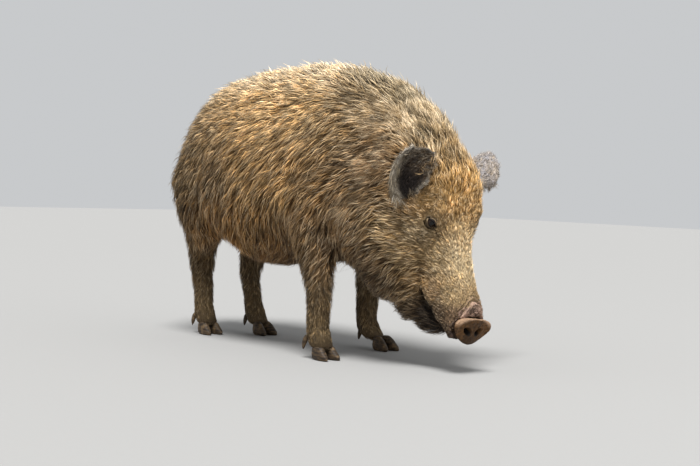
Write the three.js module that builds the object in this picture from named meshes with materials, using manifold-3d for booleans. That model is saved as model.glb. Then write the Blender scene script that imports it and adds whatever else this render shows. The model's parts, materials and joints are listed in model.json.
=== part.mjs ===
// A wild boar (Sus scrofa), an adult sow in her long coat, standing with her head lowered to the ground.
//
// Millimetres, +Z up. She faces +X, and +Y is her left side. The sizes below are measured from the stance point, on the
// ground midway between the hind hooves; the finished group is moved so that the origin is the middle of the ground
// under her. All outlines reach to the tips of the coat.
import * as THREE from "three";
import { mergeVertices } from "three/addons/utils/BufferGeometryUtils.js";
import Module from "manifold-3d";

const wasm = await Module();
wasm.setup();

// ---- driving dimensions -------------------------------------------------------------------------------------------

const GAP = 0.4; // every cut between two pieces is this wide
const WITHERS = 784; // height of the back over the shoulders
const BELLY = 208; // lowest point of the belly's coat
const BARREL = 212; // half width of the trunk at its widest
const HEAD_LENGTH = 398; // from the poll to the snout disc

// The head's own frame: `poll` is its origin, `along` runs down the face to the snout, `over` is square to it, out of
// the forehead, and Y stays the body's.
const HEAD = { poll: new THREE.Vector3(831, 0, 489), pitch: THREE.MathUtils.degToRad(67) };

const SHOULDERS = { x: 480, y: 128, z: 400 };
const HIPS = { x: -10, y: 108, z: 470 };

// Where each leg stands: `shank` is the cannon bone's place, and `toe`, `dew` and `hock` are how far ahead of it the hoof
// tips and the dew claws are, and how far behind it the hock is.
const STANCE = {
  fore_right: { side: -1, shank: 530, apart: 142, toe: 62, dew: -16 },
  fore_left: { side: 1, shank: 404, apart: 142, toe: 108, dew: 8 },
  hind_right: { side: -1, shank: -70, apart: 72, toe: 60, dew: -12, hock: 16 },
  hind_left: { side: 1, shank: -8, apart: 66, toe: 80, dew: -4, hock: 32 },
};

const EYE = { along: 124, over: -22, apart: 76, radius: 12.5 };
const DISC = {
  along: 390,
  over: -58,
  high: 31.5,
  wide: 56,
  thick: 16,
  bow: 4, // how far its two ends are raised
  lift: THREE.MathUtils.degToRad(47),
  tilt: THREE.MathUtils.degToRad(-6),
};
const NOSTRIL = { apart: 17, over: 1, deep: 9, wide: 7, high: 7.5 };
const EAR = { long: 158, half: 54, thick: 4.5 };
const HOOF = { long: 60, wide: 25, high: 36, spread: 15.5 };
const DEW_CLAW = { long: 34, wide: 15, high: 40 };

// ---- shapes -------------------------------------------------------------------------------------------------------

const { cos, sin, PI, sqrt, abs, min, sign } = Math;

/** A geometry's vertices, merged so that it is one closed surface. */
function welded(geometry) {
  const bare = geometry.clone();
  for (const name of Object.keys(bare.attributes)) {
    if (name !== "position") bare.deleteAttribute(name);
  }
  return mergeVertices(bare, 1e-3);
}

/** The solid that a closed geometry encloses. */
function solid(geometry) {
  const closed = welded(geometry);
  const made = new wasm.Manifold(
    new wasm.Mesh({
      numProp: 3,
      vertProperties: closed.attributes.position.array,
      triVerts: new Uint32Array(closed.index.array),
    }),
  );
  return made;
}

/** A solid's surface as a geometry. */
function geometryOf(body) {
  const mesh = body.getMesh();
  return new THREE.BufferGeometry()
    .setAttribute("position", new THREE.BufferAttribute(new Float32Array(mesh.vertProperties), 3))
    .setIndex(new THREE.BufferAttribute(new Uint32Array(mesh.triVerts), 1));
}

/** Moves every vertex of a geometry to where `place` says. */
function reshaped(geometry, place) {
  const spots = geometry.attributes.position;
  const spot = new THREE.Vector3();
  for (let i = 0; i < spots.count; i += 1) {
    spot.fromBufferAttribute(spots, i);
    const moved = place(spot, geometry.attributes.uv.getX(i), geometry.attributes.uv.getY(i));
    spots.setXYZ(i, moved.x, moved.y, moved.z);
  }
  return geometry;
}

/** How full a rounded end is, from 0 at its tip to 1 where the rounding stops. */
const swell = (share) => sqrt(1 - (1 - min(share, 1)) ** 2);

/**
 * A closed form along a line of stations, each { at: [x, y, z], up, down, side }. The section stands square to the line,
 * or square to `facing` where that is given, with `upright` towards its top: `up` and `down` are its reach above and
 * below the line, and `side` its half width. `square` above 2 makes the section
 * boxier, `crown` narrows its top, and `ends` is the share of the length that each end takes to round off. `grow` swells
 * the whole form by that much, for the hollow that another form is fitted into.
 */
function loft(stations, options) {
  const { around, rows, square = 2, crown = 0, ends = [0.1, 0.1], grow = 0 } = options;
  const { upright = new THREE.Vector3(0, 0, 1), facing = null } = options;
  const line = new THREE.CatmullRomCurve3(stations.map((s) => new THREE.Vector3(...s.at)), false, "catmullrom", 0.5);
  const girth = new THREE.CatmullRomCurve3(
    stations.map((s) => new THREE.Vector3(s.up, s.down, s.side)), false, "catmullrom", 0.5,
  );
  const sphere = new THREE.SphereGeometry(1, around, rows);
  return reshaped(sphere, (_, u, v) => {
    const way = (1 - cos(PI * (1 - v))) / 2;
    const share = 0.35 * way + 0.65 * (1 - v);
    const centre = line.getPoint(share);
    const forward = facing ?? line.getTangent(share);
    const side = new THREE.Vector3().crossVectors(upright, forward).normalize();
    const over = new THREE.Vector3().crossVectors(forward, side);
    const size = girth.getPoint(share);
    const full = min(swell(share / ends[0]), swell((1 - share) / ends[1]));
    const turn = 2 * PI * u;
    const rounding = (c) => sign(c) * abs(c) ** (2 / square);
    const high = full * (cos(turn) >= 0 ? size.x : size.y) * rounding(cos(turn));
    const wide = full * size.z * rounding(sin(turn)) * (1 - crown * cos(turn));
    const spread = 1 + grow / Math.max(Math.hypot(high, wide), 1);
    const reach = grow * (1 - full) * (share < 0.5 ? -1 : 1);
    return centre
      .addScaledVector(over, high * spread)
      .addScaledVector(side, wide * spread)
      .addScaledVector(forward, reach);
  });
}

/** An ellipsoid with its own axes: `half` sizes along X, Y and Z, turned by `turn` about Y, then moved to `at`. */
function lump(at, half, turn = 0, segments = [24, 16]) {
  return new THREE.SphereGeometry(1, ...segments)
    .scale(...half)
    .rotateY(turn)
    .translate(...at);
}

/** A point of the head's frame in the body's frame. */
function onHead(along, over, y = 0) {
  const { poll, pitch } = HEAD;
  return [
    poll.x + along * cos(pitch) + over * sin(pitch),
    poll.y + y,
    poll.z - along * sin(pitch) + over * cos(pitch),
  ];
}

/** A thin slab that parts what it crosses: `at` is its middle, `turn` tips its normal from +X towards -Z. */
function cut(at, turn, breadth, thickness = GAP) {
  return solid(new THREE.BoxGeometry(thickness, breadth, breadth).rotateY(turn).translate(...at));
}

/** Joins solids into one. */
const joined = (...bodies) => bodies.reduce((whole, body) => whole.add(body));

// ---- trunk and neck -----------------------------------------------------------------------------------------------

/** The barrel of the body, from the rump over the withers and down the neck into the head. */
function torso() {
  const line = [
    { at: [-198, 0, 545], up: 122, down: 135, side: 108 },
    { at: [-110, 0, 510], up: 226, down: 190, side: 162 },
    { at: [0, 0, 490], up: 270, down: 205, side: 194 },
    { at: [120, 0, 474], up: 298, down: 474 - BELLY, side: BARREL - 4 },
    { at: [240, 0, 474], up: 306, down: 470 - BELLY, side: BARREL },
    { at: [360, 0, 480], up: WITHERS - 480, down: 228, side: BARREL - 5 },
    { at: [480, 0, 476], up: 298, down: 240, side: 200 },
    { at: [590, 0, 444], up: 278, down: 216, side: 180 },
    { at: [690, 0, 378], up: 250, down: 200, side: 158 },
    { at: [776, 0, 318], up: 230, down: 210, side: 142 },
    { at: [850, 0, 268], up: 196, down: 184, side: 116 },
  ];
  return solid(loft(line, { around: 22, rows: 23, square: 2.15, crown: 0.1, ends: [0.12, 0.12] }));
}

// ---- head ---------------------------------------------------------------------------------------------------------

/** One station of a form along the head: its dorsal and ventral line, and its half width. */
function slice(along, top, bottom, side) {
  const middle = top + (bottom - top) * 0.55;
  return { at: onHead(along, middle), up: top - middle, down: middle - bottom, side };
}

const SQUARE_TO_HEAD = {
  upright: new THREE.Vector3(sin(HEAD.pitch), 0, cos(HEAD.pitch)),
  facing: new THREE.Vector3(cos(HEAD.pitch), 0, -sin(HEAD.pitch)),
};

/** The brain case and the long wedge of the muzzle, down to the lips. */
function skull() {
  const line = [
    slice(-70, 30, -190, 100),
    slice(0, 46, -210, 112),
    slice(60, 48, -205, 110),
    slice(110, 32, -190, 98),
    slice(160, 6, -165, 78),
    slice(220, -10, -142, 60),
    slice(290, -19, -128, 53),
    slice(350, -22, -116, 50),
    slice(380, -26, -109, 50),
    slice(404, -44, -98, 46),
  ];
  return solid(loft(line, { around: 18, rows: 17, square: 2.3, crown: 0.16, ends: [0.1, 0.03], ...SQUARE_TO_HEAD }));
}

/** The shaggy jowl on one side of the head. */
function jowl(side) {
  const line = [
    { at: onHead(-10, -130, side * 58), up: 90, down: 84, side: 66 },
    { at: onHead(70, -150, side * 60), up: 92, down: 88, side: 68 },
    { at: onHead(150, -168, side * 54), up: 78, down: 78, side: 58 },
    { at: onHead(230, -182, side * 44), up: 58, down: 70, side: 46 },
    { at: onHead(300, -192, side * 30), up: 44, down: 58, side: 32 },
    { at: onHead(330, -190, side * 24), up: 30, down: 36, side: 22 },
  ];
  return solid(loft(line, { around: 10, rows: 9, ends: [0.3, 0.25], ...SQUARE_TO_HEAD }));
}

/** The lower jaw, from under the throat to the bearded chin. */
function jaw(grow = 0) {
  const line = [
    { at: onHead(150, -214, 0), up: 30, down: 36, side: 38 },
    { at: onHead(220, -204, 0), up: 40, down: 46, side: 44 },
    { at: onHead(290, -172, 0), up: 46, down: 62, side: 42 },
    { at: onHead(340, -152, 0), up: 40, down: 62, side: 38 },
    { at: onHead(370, -136, 0), up: 28, down: 44, side: 34 },
  ];
  return solid(loft(line, { around: 12, rows: 10, ends: [0.3, 0.16], ...SQUARE_TO_HEAD, grow }));
}

/** The bony ridge over one eye. */
const brow = (side) => solid(lump(onHead(80, 12, side * 56), [42, 24, 20], HEAD.pitch, [10, 8]));

function eye(side, grow = 0) {
  const radius = EYE.radius + grow;
  const [x, y, z] = onHead(EYE.along, EYE.over, side * EYE.apart);
  return solid(new THREE.SphereGeometry(radius, 12, 8).translate(x, y, z));
}

/** The naked disc at the snout's end, with its two nostrils. */
function snoutDisc(grow = 0) {
  const rim = new THREE.LatheGeometry(
    [
      new THREE.Vector2(0, -DISC.thick),
      new THREE.Vector2(0.86, -DISC.thick),
      new THREE.Vector2(0.98, -DISC.thick * 0.5),
      new THREE.Vector2(1, 0),
      new THREE.Vector2(0.94, DISC.thick * 0.42),
      new THREE.Vector2(0.8, DISC.thick * 0.5),
      new THREE.Vector2(0, DISC.thick * 0.44),
    ],
    20,
  );
  const shaped = reshaped(rim, ({ x, y, z }) => {
    const taper = 1 + 0.2 * z; // a little broader at its upper edge
    const raised = DISC.bow * abs(x) ** 1.6;
    return new THREE.Vector3(y + grow * sign(y), -x * (DISC.wide + grow) * taper, z * (DISC.high + grow) + raised);
  });
  const [x, y, z] = onHead(DISC.along, DISC.over);
  shaped.rotateX(DISC.tilt).rotateY(HEAD.pitch - DISC.lift).translate(x, y, z);
  return solid(shaped);
}

/** All that lies ahead of the disc's back edge, where the muzzle ends. */
function aheadOfDisc() {
  const [x, y, z] = onHead(DISC.along, DISC.over);
  const block = new THREE.BoxGeometry(120, 260, 260).translate(60 - DISC.thick * 0.4, 0, 0);
  return solid(block.rotateX(DISC.tilt).rotateY(HEAD.pitch - DISC.lift).translate(x, y, z));
}

/** One nostril as the hollow that it leaves in the disc. */
function nostril(side) {
  const hollow = new THREE.SphereGeometry(1, 10, 6)
    .scale(NOSTRIL.deep, NOSTRIL.wide, NOSTRIL.high)
    .rotateX(side * 0.5);
  hollow.translate(DISC.thick * 0.5, side * NOSTRIL.apart, NOSTRIL.over);
  const [x, y, z] = onHead(DISC.along, DISC.over);
  hollow.rotateX(DISC.tilt).rotateY(HEAD.pitch - DISC.lift).translate(x, y, z);
  return solid(hollow);
}

/**
 * An ear: a leaf that is cupped round its own axis. `root` is where it leaves the head, `axis` the way in which it does,
 * and `mouth` the way that its hollow faces. `sweep` is how far the leaf's line turns, by its tip, about that way.
 */
function ear(root, axis, mouth, sweep) {
  const { long, half, thick } = EAR;
  const leaf = new THREE.SphereGeometry(1, 16, 10);
  const rise = new THREE.Vector3(...axis).normalize();
  const front = new THREE.Vector3(...mouth);
  front.addScaledVector(rise, -front.dot(rise)).normalize();
  const across = new THREE.Vector3().crossVectors(rise, front);
  return solid(
    reshaped(leaf, (_, u, v) => {
      const from = abs(1 - 2 * v);
      const turn = 2 * PI * u;
      const p = (1 - from) * cos(turn);
      const q = (1 - from) * sin(turn);
      const share = (q + 1) / 2;
      const skin = sign(v - 0.5) * thick * sqrt(from);
      const cup = 34 + 40 * share;
      const angle = (p * half * (0.78 + 0.46 * sin(PI * share ** 0.8)) * (1 - 0.3 * share ** 3)) / cup;
      const bend = sweep * share;
      const out = (cup - skin) * (1 - cos(angle)) + skin;
      const wide = (cup - skin) * sin(angle);
      return new THREE.Vector3(...root)
        .addScaledVector(rise, (long * sin(bend)) / sweep - wide * sin(bend))
        .addScaledVector(across, (long * (1 - cos(bend))) / sweep + wide * cos(bend))
        .addScaledVector(front, out);
    }),
  );
}

// ---- legs ---------------------------------------------------------------------------------------------------------

/** The stations of a foreleg, from inside the shoulder to the fetlock: `up` is its reach ahead and `down` behind. */
function foreLine({ side, shank, apart, toe }) {
  const top = SHOULDERS;
  return [
    { at: [top.x + 10, side * (top.y - 20), top.z + 110], up: 60, down: 60, side: 46 },
    { at: [top.x + 25, side * top.y, top.z + 30], up: 96, down: 110, side: 66 },
    { at: [(top.x * 2 + shank) / 3, side * (top.y + 8), top.z - 70], up: 92, down: 96, side: 62 },
    { at: [(top.x + shank * 2) / 3 + 2, side * (apart - 2), 252], up: 58, down: 66, side: 50 },
    { at: [shank + 4, side * apart, 184], up: 36, down: 48, side: 37 },
    { at: [shank + 2, side * apart, 128], up: 29, down: 38, side: 33 },
    { at: [shank - 2, side * apart, 84], up: 28, down: 32, side: 30 },
    { at: [shank + toe * 0.12, side * apart, 50], up: 31, down: 33, side: 33 },
    { at: [shank + toe * 0.36, side * apart, 26], up: 27, down: 27, side: 33 },
  ];
}

/** The stations of a hind leg, from inside the ham, past the stifle and the hock, to the fetlock. */
function hindLine({ side, shank, apart, toe, hock }) {
  const top = HIPS;
  return [
    { at: [top.x - 30, side * (top.y - 34), top.z + 110], up: 90, down: 80, side: 50 },
    { at: [top.x - 24, side * top.y, top.z + 20], up: 140, down: 122, side: 84 },
    { at: [top.x - 18, side * (top.y + 8), top.z - 76], up: 138, down: 112, side: 82 },
    { at: [top.x - 26, side * (top.y - 2), 300], up: 92, down: 70, side: 62 },
    { at: [shank - hock * 0.7, side * (apart + 6), 226], up: 54, down: 42, side: 44 },
    { at: [shank - hock, side * apart, 172], up: 38, down: 36, side: 33 },
    { at: [shank - hock * 0.5, side * apart, 116], up: 31, down: 30, side: 28 },
    { at: [shank - 4, side * apart, 78], up: 29, down: 30, side: 28 },
    { at: [shank + toe * 0.1, side * apart, 50], up: 29, down: 32, side: 31 },
    { at: [shank + toe * 0.3, side * apart, 26], up: 26, down: 26, side: 31 },
  ];
}

const LEVEL = { upright: new THREE.Vector3(1, 0, 0), facing: new THREE.Vector3(0, 0, -1) };

function leg(line, grow = 0) {
  return solid(loft(line, { around: 12, rows: 17, square: 2.1, ends: [0.14, 0.05], ...LEVEL, grow }));
}

/** A hoof: a pointed wedge with a flat sole, leaning forward. `at` is under its heel. */
function hoof(at, { long, wide, high }, turn) {
  const line = [
    { at: [-6, 0, high * 0.72], up: 9, down: high * 0.6, side: wide * 0.4 },
    { at: [long * 0.28, 0, high * 0.56], up: high * 0.42, down: high * 0.7, side: wide * 0.5 },
    { at: [long * 0.62, 0, high * 0.3], up: high * 0.36, down: high * 0.5, side: wide * 0.46 },
    { at: [long, 0, high * 0.08], up: 5, down: 6, side: wide * 0.2 },
  ];
  const form = loft(line, { around: 10, rows: 6, square: 2.3, ends: [0.12, 0.2] });
  form.rotateZ(turn).translate(...at);
  const above = new THREE.BoxGeometry(400, 400, 200).translate(at[0], at[1], 100);
  return solid(form).intersect(solid(above));
}

/** A dew claw: a short cone that hangs behind the fetlock. */
function dewClaw(at, side) {
  const { long, wide, high } = DEW_CLAW;
  const line = [
    { at: [0, 0, 0], up: wide * 0.5, down: wide * 0.5, side: wide * 0.42 },
    { at: [-long * 0.3, side * 3, -high * 0.4], up: wide * 0.56, down: wide * 0.56, side: wide * 0.46 },
    { at: [-long * 0.42, side * 5, -high], up: wide * 0.22, down: wide * 0.22, side: wide * 0.2 },
  ];
  return solid(loft(line, { around: 6, rows: 5, ends: [0.3, 0.3], ...LEVEL }).translate(...at));
}

// ---- tail ---------------------------------------------------------------------------------------------------------

/** The tail hangs down behind the rump and ends in a tassel. */
function tail() {
  const line = [
    { at: [-182, 0, 592], up: 17, down: 17, side: 17 },
    { at: [-212, 4, 560], up: 15, down: 15, side: 15 },
    { at: [-228, 8, 490], up: 12, down: 12, side: 12 },
    { at: [-232, 12, 420], up: 13, down: 13, side: 12 },
    { at: [-230, 14, 350], up: 20, down: 20, side: 17 },
    { at: [-226, 14, 290], up: 6, down: 6, side: 6 },
  ];
  return solid(loft(line, { around: 8, rows: 10, ends: [0.1, 0.12], ...LEVEL }));
}

// ---- materials ----------------------------------------------------------------------------------------------------

const finish = (color, roughness) => new THREE.MeshStandardMaterial({ color, roughness, metalness: 0 });
const COAT = finish(0x9a7f5c, 0.9);
const FACE = finish(0x8f7a60, 0.9);
const LEG = finish(0x40352b, 0.9);
const EAR_HAIR = finish(0x5a5048, 0.9);
const NAKED = finish(0x7a5c4c, 0.6);
const HORN = finish(0x2e2620, 0.55);
const EYEBALL = finish(0x120c08, 0.15);

// ---- the animal ---------------------------------------------------------------------------------------------------

const boar = new THREE.Group();

/** Adds a solid to the animal as a named piece. */
function piece(name, body, material) {
  const mesh = new THREE.Mesh(geometryOf(body), material);
  mesh.name = name;
  boar.add(mesh);
}

/** The bodies that thin cuts leave, one more than the cuts, sorted from the far end of an axis. */
function parted(body, cuts, axis) {
  const middle = (part) => {
    const box = part.boundingBox();
    return (box.min[axis] + box.max[axis]) / 2;
  };
  return cuts
    .reduce((rest, slab) => rest.subtract(slab), body)
    .decompose()
    .sort((a, b) => b.volume() - a.volume())
    .slice(0, cuts.length + 1)
    .sort((a, b) => middle(b) - middle(a));
}

/** The largest of a solid's separate bodies. */
const largest = (body) => body.decompose().sort((a, b) => b.volume() - a.volume())[0];

const legLine = { fore: foreLine, hind: hindLine };
const lines = Object.fromEntries(
  Object.entries(STANCE).map(([name, stance]) => [name, legLine[name.slice(0, 4)](stance)]),
);

// Torso and head are one form, less the sockets of the legs, and are parted at the neck.
const jowls = joined(jowl(1), jowl(-1));
const whole = joined(torso(), skull(), jowls, brow(1), brow(-1));
const sockets = joined(...Object.values(lines).map((line) => leg(line, GAP)));
const flesh = whole.subtract(sockets);
const neckBase = cut([618, 0, 400], THREE.MathUtils.degToRad(28), 900);
const nape = cut(onHead(-18, -120), HEAD.pitch - THREE.MathUtils.degToRad(22), 700);
const [headForm, neck, trunk] = parted(flesh, [neckBase, nape], 0);

const EARS = {
  right: { root: onHead(64, -30, -121), axis: [-0.3, -0.4, 0.87], mouth: [0.75, -0.6, 0.05], sweep: 2.25 },
  left: { root: onHead(16, -22, 94), axis: [-0.14, 0.88, 0.46], mouth: [-0.6, 0.45, -0.5], sweep: 0.3 },
};
const earForms = Object.entries(EARS).map(([name, { root, axis, mouth, sweep }]) => [
  name,
  ear(root, axis, mouth, sweep),
]);

const eyes = joined(eye(1, GAP), eye(-1, GAP));
const muzzleEnd = joined(snoutDisc(GAP), aheadOfDisc());
const head = headForm.subtract(jaw(GAP)).subtract(eyes).subtract(muzzleEnd);
piece("trunk", trunk, COAT);
piece("neck", neck, COAT);
piece("head", largest(head), FACE);
piece("lower_jaw", jaw().subtract(muzzleEnd), FACE);
piece("snout_disc", snoutDisc().subtract(nostril(1)).subtract(nostril(-1)), NAKED);
piece("eye_right", eye(-1), EYEBALL);
piece("eye_left", eye(1), EYEBALL);
piece("tail", tail().subtract(trunk), COAT);
for (const [name, form] of earForms) {
  piece(`ear_${name}`, largest(form.subtract(joined(headForm, neck))), EAR_HAIR);
}

for (const [name, { side, shank, apart, toe, dew }] of Object.entries(STANCE)) {
  const fore = name.startsWith("fore");
  const form = leg(lines[name]);
  const levels = fore ? [262, 150, 62] : [300, 184, 62];
  const slabs = levels.map((z) => {
    return solid(new THREE.BoxGeometry(500, 400, GAP).translate(shank, side * apart, z));
  });
  const names = fore ? ["upper_arm", "forearm", "cannon", "pastern"] : ["thigh", "gaskin", "cannon", "pastern"];
  const claws = [];
  for (const toeSide of [-1, 1]) {
    const at = [shank + toe - HOOF.long + 4, side * apart + toeSide * HOOF.spread, 0];
    claws.push([`hoof_${name}_${toeSide * side > 0 ? "outer" : "inner"}`, hoof(at, HOOF, toeSide * 0.1)]);
    const claw = [shank + dew, side * apart + toeSide * 19, 60];
    claws.push([`dew_claw_${name}_${toeSide * side > 0 ? "outer" : "inner"}`, dewClaw(claw, toeSide)]);
  }
  parted(form, slabs, 2).forEach((part, i) => piece(`${names[i]}_${name}`, part, i ? LEG : COAT));
  for (const [clawName, claw] of claws) piece(clawName, claw.subtract(form), HORN);
}

const box = new THREE.Box3().setFromObject(boar);
const middle = box.getCenter(new THREE.Vector3());
boar.position.set(-middle.x, -middle.y, -box.min.z);

export default boar;
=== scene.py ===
"""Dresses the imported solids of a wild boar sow, in Blender.

One skin is drawn over the solids of flesh and lies inside them by the depth of the coat. Tufts of bristle
then grow from it, combed along the lie of the coat, out to the solids' own outline. Eyes, snout disc, hooves
and dew claws stay pieces of their own. Lengths are in metres, +X is the way she faces, +Y is her left and +Z
is up.
"""

from __future__ import annotations

import json
import logging
import math
from collections.abc import Iterable
from dataclasses import dataclass, field
from enum import Enum

import bmesh
import bpy
import numpy as np
from mathutils import Matrix, Vector
from mathutils.bvhtree import BVHTree
from mathutils.kdtree import KDTree

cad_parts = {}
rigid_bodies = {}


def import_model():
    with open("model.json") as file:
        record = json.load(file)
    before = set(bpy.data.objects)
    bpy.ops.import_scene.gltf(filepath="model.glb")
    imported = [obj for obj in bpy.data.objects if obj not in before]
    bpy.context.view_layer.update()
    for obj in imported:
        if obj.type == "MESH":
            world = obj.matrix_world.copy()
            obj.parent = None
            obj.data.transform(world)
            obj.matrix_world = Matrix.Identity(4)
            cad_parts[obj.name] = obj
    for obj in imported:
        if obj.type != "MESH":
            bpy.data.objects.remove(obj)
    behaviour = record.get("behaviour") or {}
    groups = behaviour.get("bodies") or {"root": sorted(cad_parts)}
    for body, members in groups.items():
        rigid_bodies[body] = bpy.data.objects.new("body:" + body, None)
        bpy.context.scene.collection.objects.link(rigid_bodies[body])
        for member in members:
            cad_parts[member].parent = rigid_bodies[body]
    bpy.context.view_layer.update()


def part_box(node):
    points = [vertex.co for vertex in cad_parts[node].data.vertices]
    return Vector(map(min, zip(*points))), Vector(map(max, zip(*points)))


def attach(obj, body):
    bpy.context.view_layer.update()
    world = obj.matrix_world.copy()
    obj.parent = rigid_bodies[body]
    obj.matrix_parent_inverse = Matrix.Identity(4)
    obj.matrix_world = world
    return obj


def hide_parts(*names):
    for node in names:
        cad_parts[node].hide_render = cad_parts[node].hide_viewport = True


log = logging.getLogger("wild_boar")

Array = np.ndarray
Colour = tuple[float, float, float]

SEED = 20640
BODY = "root"
FRAME_WIDTH_PX = 700
SENSOR_MM = 36.0

SIDES = ("left", "right")
LEGS = ("fore_left", "fore_right", "hind_left", "hind_right")


# ---- small sums ----------------------------------------------------------------------------------


def ramp(value: Array, low: float, high: float) -> Array:
    """A smooth step from 0 at `low` to 1 at `high`, which may be below `low`."""
    share = np.clip((value - low) / (high - low), 0.0, 1.0)
    return share * share * (3.0 - 2.0 * share)


def unit(vectors: Array) -> Array:
    """The vectors, each brought to length 1."""
    return vectors / np.maximum(np.linalg.norm(vectors, axis=-1, keepdims=True), 1e-9)


def across_plane(vectors: Array, normals: Array) -> Array:
    """The part of each vector that lies in the plane square to its normal, at length 1."""
    return unit(vectors - normals * np.sum(vectors * normals, axis=-1, keepdims=True))


def turned(vectors: Array, axes: Array, angles: Array) -> Array:
    """Each vector turned about its own unit axis, by its own angle in radians."""
    angles = angles[:, None]
    along = axes * np.sum(axes * vectors, axis=1, keepdims=True)
    return along + (vectors - along) * np.cos(angles) + np.cross(axes, vectors) * np.sin(angles)


def mottle(points: Array, scale: float, seed: int, octaves: int = 2) -> Array:
    """A smooth, repeatable pattern of patches.

    Args:
        points: Where it is read, one row for each point.
        scale: The size of a patch.
        seed: Which pattern.
        octaves: How many finer patterns are laid over the first.

    Returns:
        One value for each point, about -1 to 1.
    """
    draw = np.random.default_rng(seed)
    total = np.zeros(len(points))
    for octave in range(octaves):
        size = scale / 2.0**octave
        for _ in range(5):
            wave = draw.normal(size=3)
            wave *= 2.0 * math.pi / (size * np.linalg.norm(wave))
            phase = draw.uniform(0.0, 6.3, 3)
            bend = points + 0.35 * size * np.sin(points[:, [1, 2, 0]] * (4.0 / size) + phase)
            total += np.sin(bend @ wave + draw.uniform(0.0, 6.3)) * 0.5**octave
    return total / 3.2


def linear(red: int, green: int, blue: int) -> Colour:
    """A colour as linear light, from its red, green and blue on a screen, 0 to 255."""

    def channel(value: int) -> float:
        """One of the three, as linear light."""
        share = value / 255.0
        return share / 12.92 if share <= 0.04045 else ((share + 0.055) / 1.055) ** 2.4

    return channel(red), channel(green), channel(blue)


# ---- where things are ----------------------------------------------------------------------------


@dataclass(frozen=True)
class Landmarks:
    """Named places on the sow, taken from the boxes of her eyes.

    The head has a frame of its own: `along` runs down the face to the snout, `over` is square to it out of
    the forehead, and both are measured from the poll.
    """

    poll: Array
    along: Array
    over: Array
    stance: Array
    eyes: dict[str, Array]
    eye_radius: float

    @classmethod
    def read(cls) -> Landmarks:
        """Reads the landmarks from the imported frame."""
        pitch = math.radians(67.0)
        along = np.array([math.cos(pitch), 0.0, -math.sin(pitch)])
        over = np.array([math.sin(pitch), 0.0, math.cos(pitch)])
        eyes, radius = {}, 0.0
        for side in SIDES:
            low, high = (np.array(corner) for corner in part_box(f"eye_{side}"))
            eyes[side] = (low + high) / 2.0
            radius = float(high[2] - low[2]) / 2.0
        middle = (eyes["left"] + eyes["right"]) / 2.0
        poll = middle - 0.124 * along + 0.022 * over
        return cls(poll, along, over, poll - np.array([0.831, 0.0, 0.489]), eyes, radius)

    def on_head(self, points: Array) -> tuple[Array, Array, Array]:
        """How far each point is along the head, over its line and to its left."""
        away = points - self.poll
        return away @ self.along, away @ self.over, away[:, 1]

    def snout_end(self) -> tuple[Array, Array]:
        """The middle of the snout disc, and the way that it faces."""
        lift = math.radians(47.0)
        return self.place(0.390, -0.058), math.cos(lift) * self.along + math.sin(lift) * self.over

    def ahead(self, points: Array) -> Array:
        """How far each point is ahead of the snout disc's plane."""
        middle, facing = self.snout_end()
        return (points - middle) @ facing

    def place(self, along: float, over: float, left: float = 0.0) -> Array:
        """The point at these head measures."""
        return self.poll + along * self.along + over * self.over + np.array([0.0, left, 0.0])


# ---- materials -----------------------------------------------------------------------------------


class Nodes:
    """A material's or group's node tree, with short ways to add and join nodes."""

    def __init__(self, tree: bpy.types.NodeTree) -> None:
        """Takes the tree to build in."""
        self.tree = tree

    def add(self, kind: str, **settings: object) -> bpy.types.Node:
        """Adds a node and sets its properties."""
        node = self.tree.nodes.new(kind)
        for name, value in settings.items():
            setattr(node, name, value)
        return node

    def join(self, source: bpy.types.NodeSocket, target: bpy.types.NodeSocket) -> None:
        """Links one socket to another."""
        self.tree.links.new(source, target)

    def feed(self, target: bpy.types.NodeSocket, value: object) -> None:
        """Links a socket, or sets a plain value."""
        if isinstance(value, bpy.types.NodeSocket):
            self.join(value, target)
        else:
            target.default_value = value

    def attribute(self, name: str, output: str = "Fac") -> bpy.types.NodeSocket:
        """A named attribute of the surface."""
        return self.add("ShaderNodeAttribute", attribute_name=name).outputs[output]

    def math(
        self, operation: str, first: object, second: object = 0.0, clamp: bool = False
    ) -> bpy.types.NodeSocket:
        """A sum of two values."""
        node = self.add("ShaderNodeMath", operation=operation, use_clamp=clamp)
        self.feed(node.inputs[0], first)
        self.feed(node.inputs[1], second)
        return node.outputs[0]

    def mix(self, share: object, first: object, second: object, blend: str = "MIX") -> bpy.types.NodeSocket:
        """Two colours mixed."""
        node = self.add("ShaderNodeMix", data_type="RGBA", blend_type=blend)
        self.feed(node.inputs[0], share)
        self.feed(node.inputs[6], first)
        self.feed(node.inputs[7], second)
        return node.outputs[2]

    def between(self, value: object, low: float, high: float) -> bpy.types.NodeSocket:
        """A value brought to 0 at `low` and 1 at `high`."""
        node = self.add("ShaderNodeMapRange", interpolation_type="SMOOTHSTEP")
        self.feed(node.inputs["Value"], value)
        node.inputs["From Min"].default_value = low
        node.inputs["From Max"].default_value = high
        return node.outputs["Result"]

    def noise(self, place: object, scale: object, detail: float = 3.0) -> bpy.types.NodeSocket:
        """A cloud of noise, 0 to 1."""
        node = self.add("ShaderNodeTexNoise")
        self.feed(node.inputs["Vector"], place)
        self.feed(node.inputs["Scale"], scale)
        node.inputs["Detail"].default_value = detail
        return node.outputs["Fac"]

    def object_place(self) -> bpy.types.NodeSocket:
        """The Object coordinates."""
        return self.add("ShaderNodeTexCoord").outputs["Object"]

    def bump(self, height: object, strength: float, distance: float) -> bpy.types.NodeSocket:
        """A normal that a height bends."""
        node = self.add("ShaderNodeBump")
        node.inputs["Strength"].default_value = strength
        node.inputs["Distance"].default_value = distance
        self.feed(node.inputs["Height"], height)
        return node.outputs["Normal"]


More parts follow.
